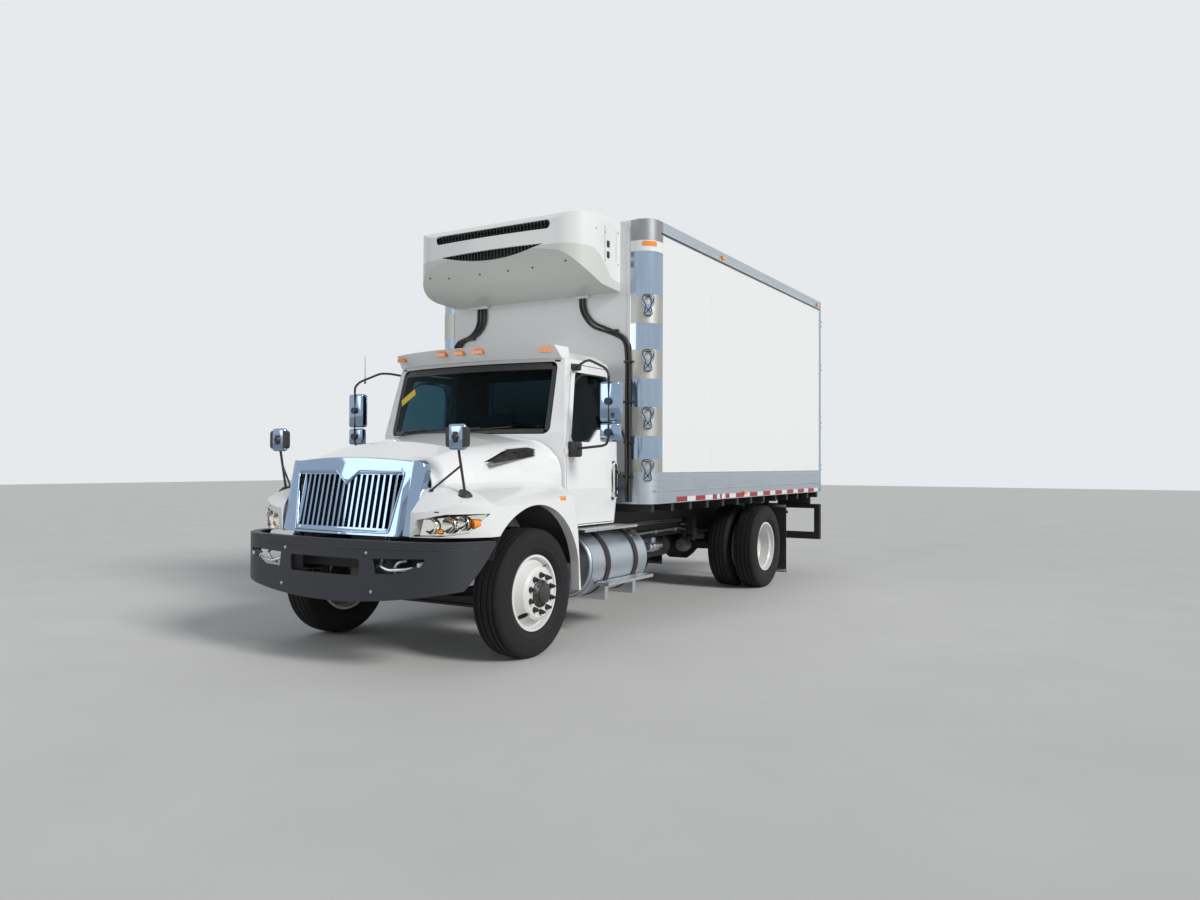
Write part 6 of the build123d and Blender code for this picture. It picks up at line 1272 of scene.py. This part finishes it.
# %% [markdown]
# Inside, a cold room of this kind has kick plates along its walls, a floor of ribbed extrusions
# that lets the air pass under the load, and a box at the front that blows cold air through two
# fans. The fan guards are turned rings on spokes, where a pattern in the finish would be flat.

# %% Cargo room: kick plates, ribbed floor, cold air box and lights
FAN_X, FAN_Z = (-0.4, 0.4), 3.505
room = bmesh.new()
for s, side in SIDES:
    blocks(room, ((1.2155, 1.83, 1.2655, 1.211, 6.68, 1.6, 0.001),), s)
    studs(room, [(s * 1.211, at(2.0 + 0.45 * place), z) for place in range(11) for z in (1.3, 1.57)], (-s, 0, 0),
          0.008, 0.004, sides=6, top=0.9)
blocks(room, ((-1.2, 1.8105, 1.2655, 1.2, 1.815, 1.6, 0.001),))
for place in range(25):
    x = -1.14 + 0.095 * place
    blocks(room, ((x - 0.012, 1.85, 1.265, x + 0.012, 6.66, 1.276, 0.003, 1),))
piece("kick_plates_and_floor_ribs", room, "floor_aluminium", "root")
cold, fans = bmesh.new(), bmesh.new()
blocks(cold, ((-0.76, 1.8105, 3.31, 0.76, 2.26, 3.7, 0.04, 3),))
for x in FAN_X:
    turned(cold, [(0.0, 0.165), (0.012, 0.165), (0.018, 0.15), (0.006, 0.14), (0.0, 0.14)], (x, at(2.259), FAN_Z),
           axis="Y", steps=36)
    hub = Vector((x, at(2.268), FAN_Z))
    for r in (0.035, 0.07, 0.105, 0.135):
        turned(fans, [(-0.002, r), (0.002, r + 0.002), (0.002, r - 0.002), (-0.002, r)], hub, axis="Y", steps=32)
    for count in range(6):
        turn = pi * count / 3
        rod(fans, hub, hub + Vector((0.14 * cos(turn), 0, 0.14 * sin(turn))), 0.003, sides=6)
piece("cold_air_box", cold, "unit_white", "root")
piece("fan_guards", fans, "trim_black", "root")
lights = bmesh.new()
for y in (3.4, 5.4):
    turned(lights, [(3.7355, 0.0), (3.7355, 0.085), (3.722, 0.08), (3.712, 0.055), (3.709, 0.0)], (0.0, at(y), 0.0),
           axis="Z", steps=32)
piece("room_lights", lights, "unit_beige", "root")
print("cargo room fitted")

# %% [markdown]
# Air pipes, a drier and its valve hang beside the frame between the tank and the rear axle. Each
# is a tube through a few points or a turned can, which is enough at the distance it is seen from.

# %% Pipes and pale fittings between the tank and the rear axle
PIPE_RUNS = ((0.014, ((0.47, 1.95, 0.735), (0.48, 2.4, 0.748), (0.48, 3.9, 0.76), (0.47, 4.2, 0.72),
                      (0.43, 4.45, 0.64))),
             (0.012, ((0.46, 4.0, 0.8), (0.5, 4.22, 0.79), (0.51, 4.36, 0.72), (0.45, 4.52, 0.6))))
pipes = bmesh.new()
for radius, run in PIPE_RUNS:
    tube(pipes, placed(run), radius, sides=10)
turned(pipes, [(-0.125, 0.0), (-0.125, 0.04), (-0.115, 0.052), (-0.03, 0.052), (-0.026, 0.058), (-0.014, 0.058),
               (-0.01, 0.05), (0.09, 0.05), (0.1, 0.038), (0.1, 0.0)], (0.52, at(3.16), 0.6), axis="Y",
       steps=28)
turned(pipes, [(-0.03, 0.0), (-0.03, 0.026), (0.03, 0.026), (0.03, 0.0)], (0.52, at(3.33), 0.6), axis="Y",
       steps=20)
blocks(pipes, ((0.431, 3.1, 0.64, 0.545, 3.2, 0.7, 0.008),))
blocks(pipes, [(0.4305, y - 0.012, 0.73, 0.498, y + 0.012, 0.775, 0.004) for y in (2.1, 2.7, 3.3, 3.8)])
piece("side_pipes_and_valves", pipes, "rail_aluminium", "root")
print("pipes done")

# %% [markdown]
# ## Cab inside and engine
# Gauges and a radio show dimly through the windshield, and the engine only when the hood is
# tilted. Both are dressed with a few turned and bevelled shapes rather than modelled in full.

# %% Gauges, radio, vents and the wheel's pad
gauges = bmesh.new()
blocks(gauges, ((0.255, 0.69, 1.735, 0.605, 0.845, 1.79, 0.022, 3), (0.262, 0.8, 1.585, 0.598, 0.838, 1.745, 0.012),
                (-0.13, 0.79, 1.45, 0.13, 0.842, 1.69, 0.014), (-0.855, 0.8, 1.61, -0.705, 0.84, 1.69, 0.01),
                (-0.495, 0.8, 1.61, -0.345, 0.84, 1.69, 0.01), (0.705, 0.8, 1.61, 0.855, 0.84, 1.69, 0.01),
                (-0.7, 0.78, 1.46, -0.26, 0.832, 1.59, 0.012)))
piece("gauge_hood_and_radio", gauges, "trim_black", "root")
dials = bmesh.new()
for x, z, r in ((0.355, 1.665, 0.048), (0.505, 1.665, 0.048), (0.43, 1.705, 0.022), (0.43, 1.65, 0.022),
                (0.282, 1.62, 0.015), (0.578, 1.62, 0.015)):
    turned(dials, [(0.0, r), (0.006, r), (0.008, r - 0.003), (0.002, r - 0.005), (0.002, 0.0)], (x, at(0.838), z),
           axis="Y", steps=28)
for x in (-0.085, 0.085):
    for z in (1.5, 1.64):
        turned(dials, [(0.0, 0.018), (0.016, 0.016), (0.018, 0.0)], (x, at(0.842), z), axis="Y", steps=18)
blocks(dials, ((-0.06, 0.842, 1.56, 0.06, 0.846, 1.61, 0.001),))
piece("dials_and_knobs", dials, "trim_grey", "root")
pad = bmesh.new()
column_top, column_line = Vector((0.43, at(0.9), 1.7)), Vector((0, 0.5843, 0.8115))
for t0, t1, r0, r1 in ((0.026, 0.052, 0.068, 0.056), (0.052, 0.058, 0.056, 0.03)):
    rod(pad, column_top + column_line * t0, column_top + column_line * t1, r0, r1, sides=28)
piece("steering_wheel_pad", pad, "trim_grey", "steering_wheel")

# %% Engine top
cover = bmesh.new()
blocks(cover, ((-0.135, -0.47, 1.441, 0.135, 0.29, 1.505, 0.026, 3),))
blocks(cover, [(-0.11, -0.426 + 0.082 * place, 1.502, 0.11, -0.414 + 0.082 * place, 1.513, 0.003)
               for place in range(9)])
turned(cover, [(1.5, 0.0), (1.5, 0.04), (1.53, 0.04), (1.536, 0.032), (1.538, 0.0)], (0.0, at(0.235), 0.0),
       axis="Z", steps=24)
piece("valve_cover", cover, "trim_black", "root")
works = bmesh.new()
studs(works, [(s * 0.126, at(-0.44 + 0.1 * place), 1.441) for s in (1, -1) for place in range(8)], (0, 0, 1), 0.01,
      0.016, sides=6, top=0.9)
tube(works, placed(((0.235, -0.44, 1.3), (0.235, -0.4, 1.47), (0.235, 0.08, 1.48), (0.235, 0.24, 1.47))), 0.042)
for place in range(6):
    y = -0.38 + 0.12 * place
    tube(works, placed(((-0.32, y, 1.33), (-0.38, y, 1.325), (-0.395, y + 0.03, 1.28))), 0.024, sides=10)
rod(works, (-0.395, at(-0.42), 1.265), (-0.395, at(0.29), 1.265), 0.036, sides=18)
turned(works, [(-0.075, 0.0), (-0.075, 0.05), (-0.05, 0.088), (-0.01, 0.1), (0.012, 0.062), (0.03, 0.062),
               (0.05, 0.096), (0.08, 0.08), (0.105, 0.05), (0.105, 0.0)], (-0.44, at(0.0), 1.15), axis="Y",
       steps=32)
piece("engine_fittings", works, "cast_metal", "root")

# %% Air cleaner, radiator and coolant flask
HOSE_RUNS = ((0.028, ((0.28, -0.6, 1.425), (0.28, -0.56, 1.48), (0.12, -0.505, 1.495), (0.08, -0.47, 1.47))),
             (0.046, ((0.44, -0.12, 1.36), (0.4, -0.24, 1.42), (0.26, -0.33, 1.47))))
black = bmesh.new()
turned(black, [(-0.2, 0.0), (-0.2, 0.11), (-0.188, 0.122), (-0.15, 0.122), (-0.146, 0.128), (-0.138, 0.128),
               (-0.134, 0.122), (0.17, 0.122), (0.182, 0.11), (0.182, 0.0)], (0.475, at(0.06), 1.3), axis="Y",
       steps=36)
blocks(black, ((-0.405, -0.668, 1.395, 0.405, -0.552, 1.432, 0.014),
               (-0.405, -0.56, 0.945, 0.405, -0.552, 1.395, 0.003)))
for radius, run in HOSE_RUNS:
    tube(black, placed(run), radius)
piece("air_cleaner_and_hoses", black, "hose_rubber", "root")
core = bmesh.new()
for place in range(60):
    x = -0.385 + 0.77 * place / 59
    blocks(core, ((x - 0.0015, -0.664, 0.96, x + 0.0015, -0.6595, 1.39),))
piece("radiator_fins", core, "rail_aluminium", "root")
flask = bmesh.new()
blocks(flask, ((0.35, 0.215, 1.43, 0.56, 0.33, 1.56, 0.03, 3),))
turned(flask, [(1.558, 0.0), (1.558, 0.03), (1.58, 0.03), (1.584, 0.0)], (0.455, at(0.272), 0.0), axis="Z", steps=20)
piece("coolant_flask", flask, "unit_beige", "root")
print("cab inside and engine dressed")

# %% [markdown]
# Under the body, the exhaust gear's box has pressed panels and hinges, the air tanks have welded
# seams, and metal strips clamp the mudflaps. The bumper bar behind carries the same tape as the
# sill. They are thin blocks laid on the solids, which keeps the solids plain.

# %% Exhaust gear box, air tanks, flap strips and guard tape
gear = bmesh.new()
for y0, y1 in ((0.79, 1.15), (1.17, 1.5)):
    blocks(gear, [(-1.116, y0, z0, -1.109, y1, z1, 0.004) for z0, z1 in ((0.7, 0.915), (0.48, 0.64))])
for place in range(6):
    blocks(gear, ((-1.119, 1.53, 0.5 + 0.066 * place, -1.109, 1.7, 0.53 + 0.066 * place, 0.004),))
blocks(gear, [(-1.124, y - 0.03, 0.88, -1.114, y + 0.03, 0.905, 0.004) for y in (0.97, 1.33)])
for s, side in SIDES:
    for y in (3.215, 3.785):
        turned(gear, [(-0.006, 0.119), (-0.004, 0.1225), (0.004, 0.1225), (0.006, 0.119)], (s * 0.3, at(y), 0.562),
               axis="Y", steps=40)
piece("box_panels_and_tank_seams", gear, "chassis_black", "root")
strips = bmesh.new()
for s, side in SIDES:
    blocks(strips, [(0.625, 5.627, z0, 1.195, 5.6318, z1, 0.001) for z0, z1 in ((0.955, 0.99), (0.12, 0.15))], s)
    studs(strips, [(s * x, at(5.627), 0.972) for x in (0.67, 0.8, 0.93, 1.06, 1.16)], (0, -1, 0), 0.009, 0.005,
          sides=6, top=0.9)
piece("mudflap_strips", strips, "rail_aluminium", "root")
for finish, slot, shift in (("tape_red", "lamp_amber", 0.0), ("tape_white", "unit_white", 0.13)):
    band = bmesh.new()
    for s, side in SIDES:
        for place in range(5):
            x = 0.02 + shift + 0.25 * place
            blocks(band, ((x, 6.8602, 0.492, x + 0.12, 6.8609, 0.54),), s)
    piece("guard_" + finish, band, finish, "root")
print("underside dressed")

# %% [markdown]
# ## Seats
# The seats are padded and upholstered, so the plain solids are replaced. Each cushion starts as a
# block that is subdivided and pushed out into a crown, then channels are pressed across it. Cloth
# simulation would puff it too, but a firm truck seat keeps its moulded shape.


# %% Seat cushions
def cushion(bm, low, high, crown, channels, face):
    """Padded block: face is the axis that its crowned side points along, with a sign."""
    axis, sign = face
    made = bmesh.ops.create_cube(bm, size=1.0)["verts"]
    edges = list({edge for vert in made for edge in vert.link_edges})
    bmesh.ops.subdivide_edges(bm, edges=edges, cuts=15, use_grid_fill=True)
    low, high = Vector(low), Vector(high)
    size, mid = high - low, (low + high) / 2
    others = [item for item in range(3) if item != axis]
    for vert in bm.verts:
        u, v, w = vert.co[others[0]] * 2, vert.co[others[1]] * 2, vert.co[axis] * 2
        puff = (1 - abs(u) ** 3) * (1 - abs(v) ** 3)
        groove = max(0.0, cos(v * pi * channels)) ** 10 * (1 - abs(u) ** 8) if w * sign > 0.9 else 0.0
        spot = mid + Vector([vert.co[item] * size[item] for item in range(3)])
        inward = 0.018 * (1 - puff) * max(abs(u), abs(v)) ** 4
        for item, amount in ((others[0], u), (others[1], v)):
            spot[item] -= inward * amount
        spot[axis] += w * crown * puff * (1.0 if w * sign > 0 else 0.2) - sign * 0.007 * groove
        vert.co = spot


for name, x0, x1 in (("driver", 0.184, 0.676), ("passenger", -0.676, -0.084)):
    seat = bmesh.new()
    cushion(seat, (x0, at(0.965), 1.384), (x1, at(1.372), 1.488), 0.012, 2, (2, 1))
    thing = piece("seat_cushion_" + name, seat, "seat_fabric", "root", replaces=("seats",), sharp=60)
    rest = bmesh.new()
    cushion(rest, (x0 + 0.012, at(1.318), 1.47), (x1 - 0.012, at(1.392), 2.02), 0.01, 3, (1, -1))
    for vert in rest.verts:
        vert.co.y += 0.165 * (vert.co.z - 1.49)
    thing = piece("seat_back_" + name, rest, "seat_fabric", "root", sharp=60)
    base = bmesh.new()
    blocks(base, ((x0 + 0.06, 1.022, 1.0905, x1 - 0.06, 1.348, 1.33, 0.02, 3),
                  (x0 + 0.03, 0.99, 1.33, x1 - 0.03, 1.375, 1.383, 0.01)))
    for x, way in ((x0, -1), (x1, 1)):
        rod(base, *placed(((x - way * 0.02, 1.345, 1.4), (x + way * 0.002, 1.345, 1.4))), 0.03, 0.026, sides=20)
    piece("seat_base_" + name, base, "trim_black", "root")
print("seats padded")

# %% [markdown]
# ## Floor
# A pale, faintly mottled concrete floor carries the truck's shadow. A shadow catcher would leave
# the ground empty, but the bright metal needs a floor to reflect.

# %% Floor
floor_bm = bmesh.new()
bmesh.ops.create_grid(floor_bm, x_segments=1, y_segments=1, size=60.0)
floor_mesh = bpy.data.meshes.new("studio_floor")
floor_bm.to_mesh(floor_mesh)
floor_bm.free()
floor = bpy.data.objects.new("studio_floor", floor_mesh)
bpy.context.collection.objects.link(floor)
concrete, tree, shader, place = start_material("pale_concrete")
mottle = noise(tree, place, 0.8, 6.0, 0.6)
tree.links.new(blend_colour(tree, mottle, (0.56, 0.56, 0.55, 1), (0.66, 0.66, 0.65, 1)), shader.inputs["Base Color"])
shader.inputs["Roughness"].default_value = 0.85
bump_from(tree, shader, noise(tree, place, 60.0, 4.0, 0.6), 0.1, 0.003)
floor_mesh.materials.append(concrete)
print("floor laid")
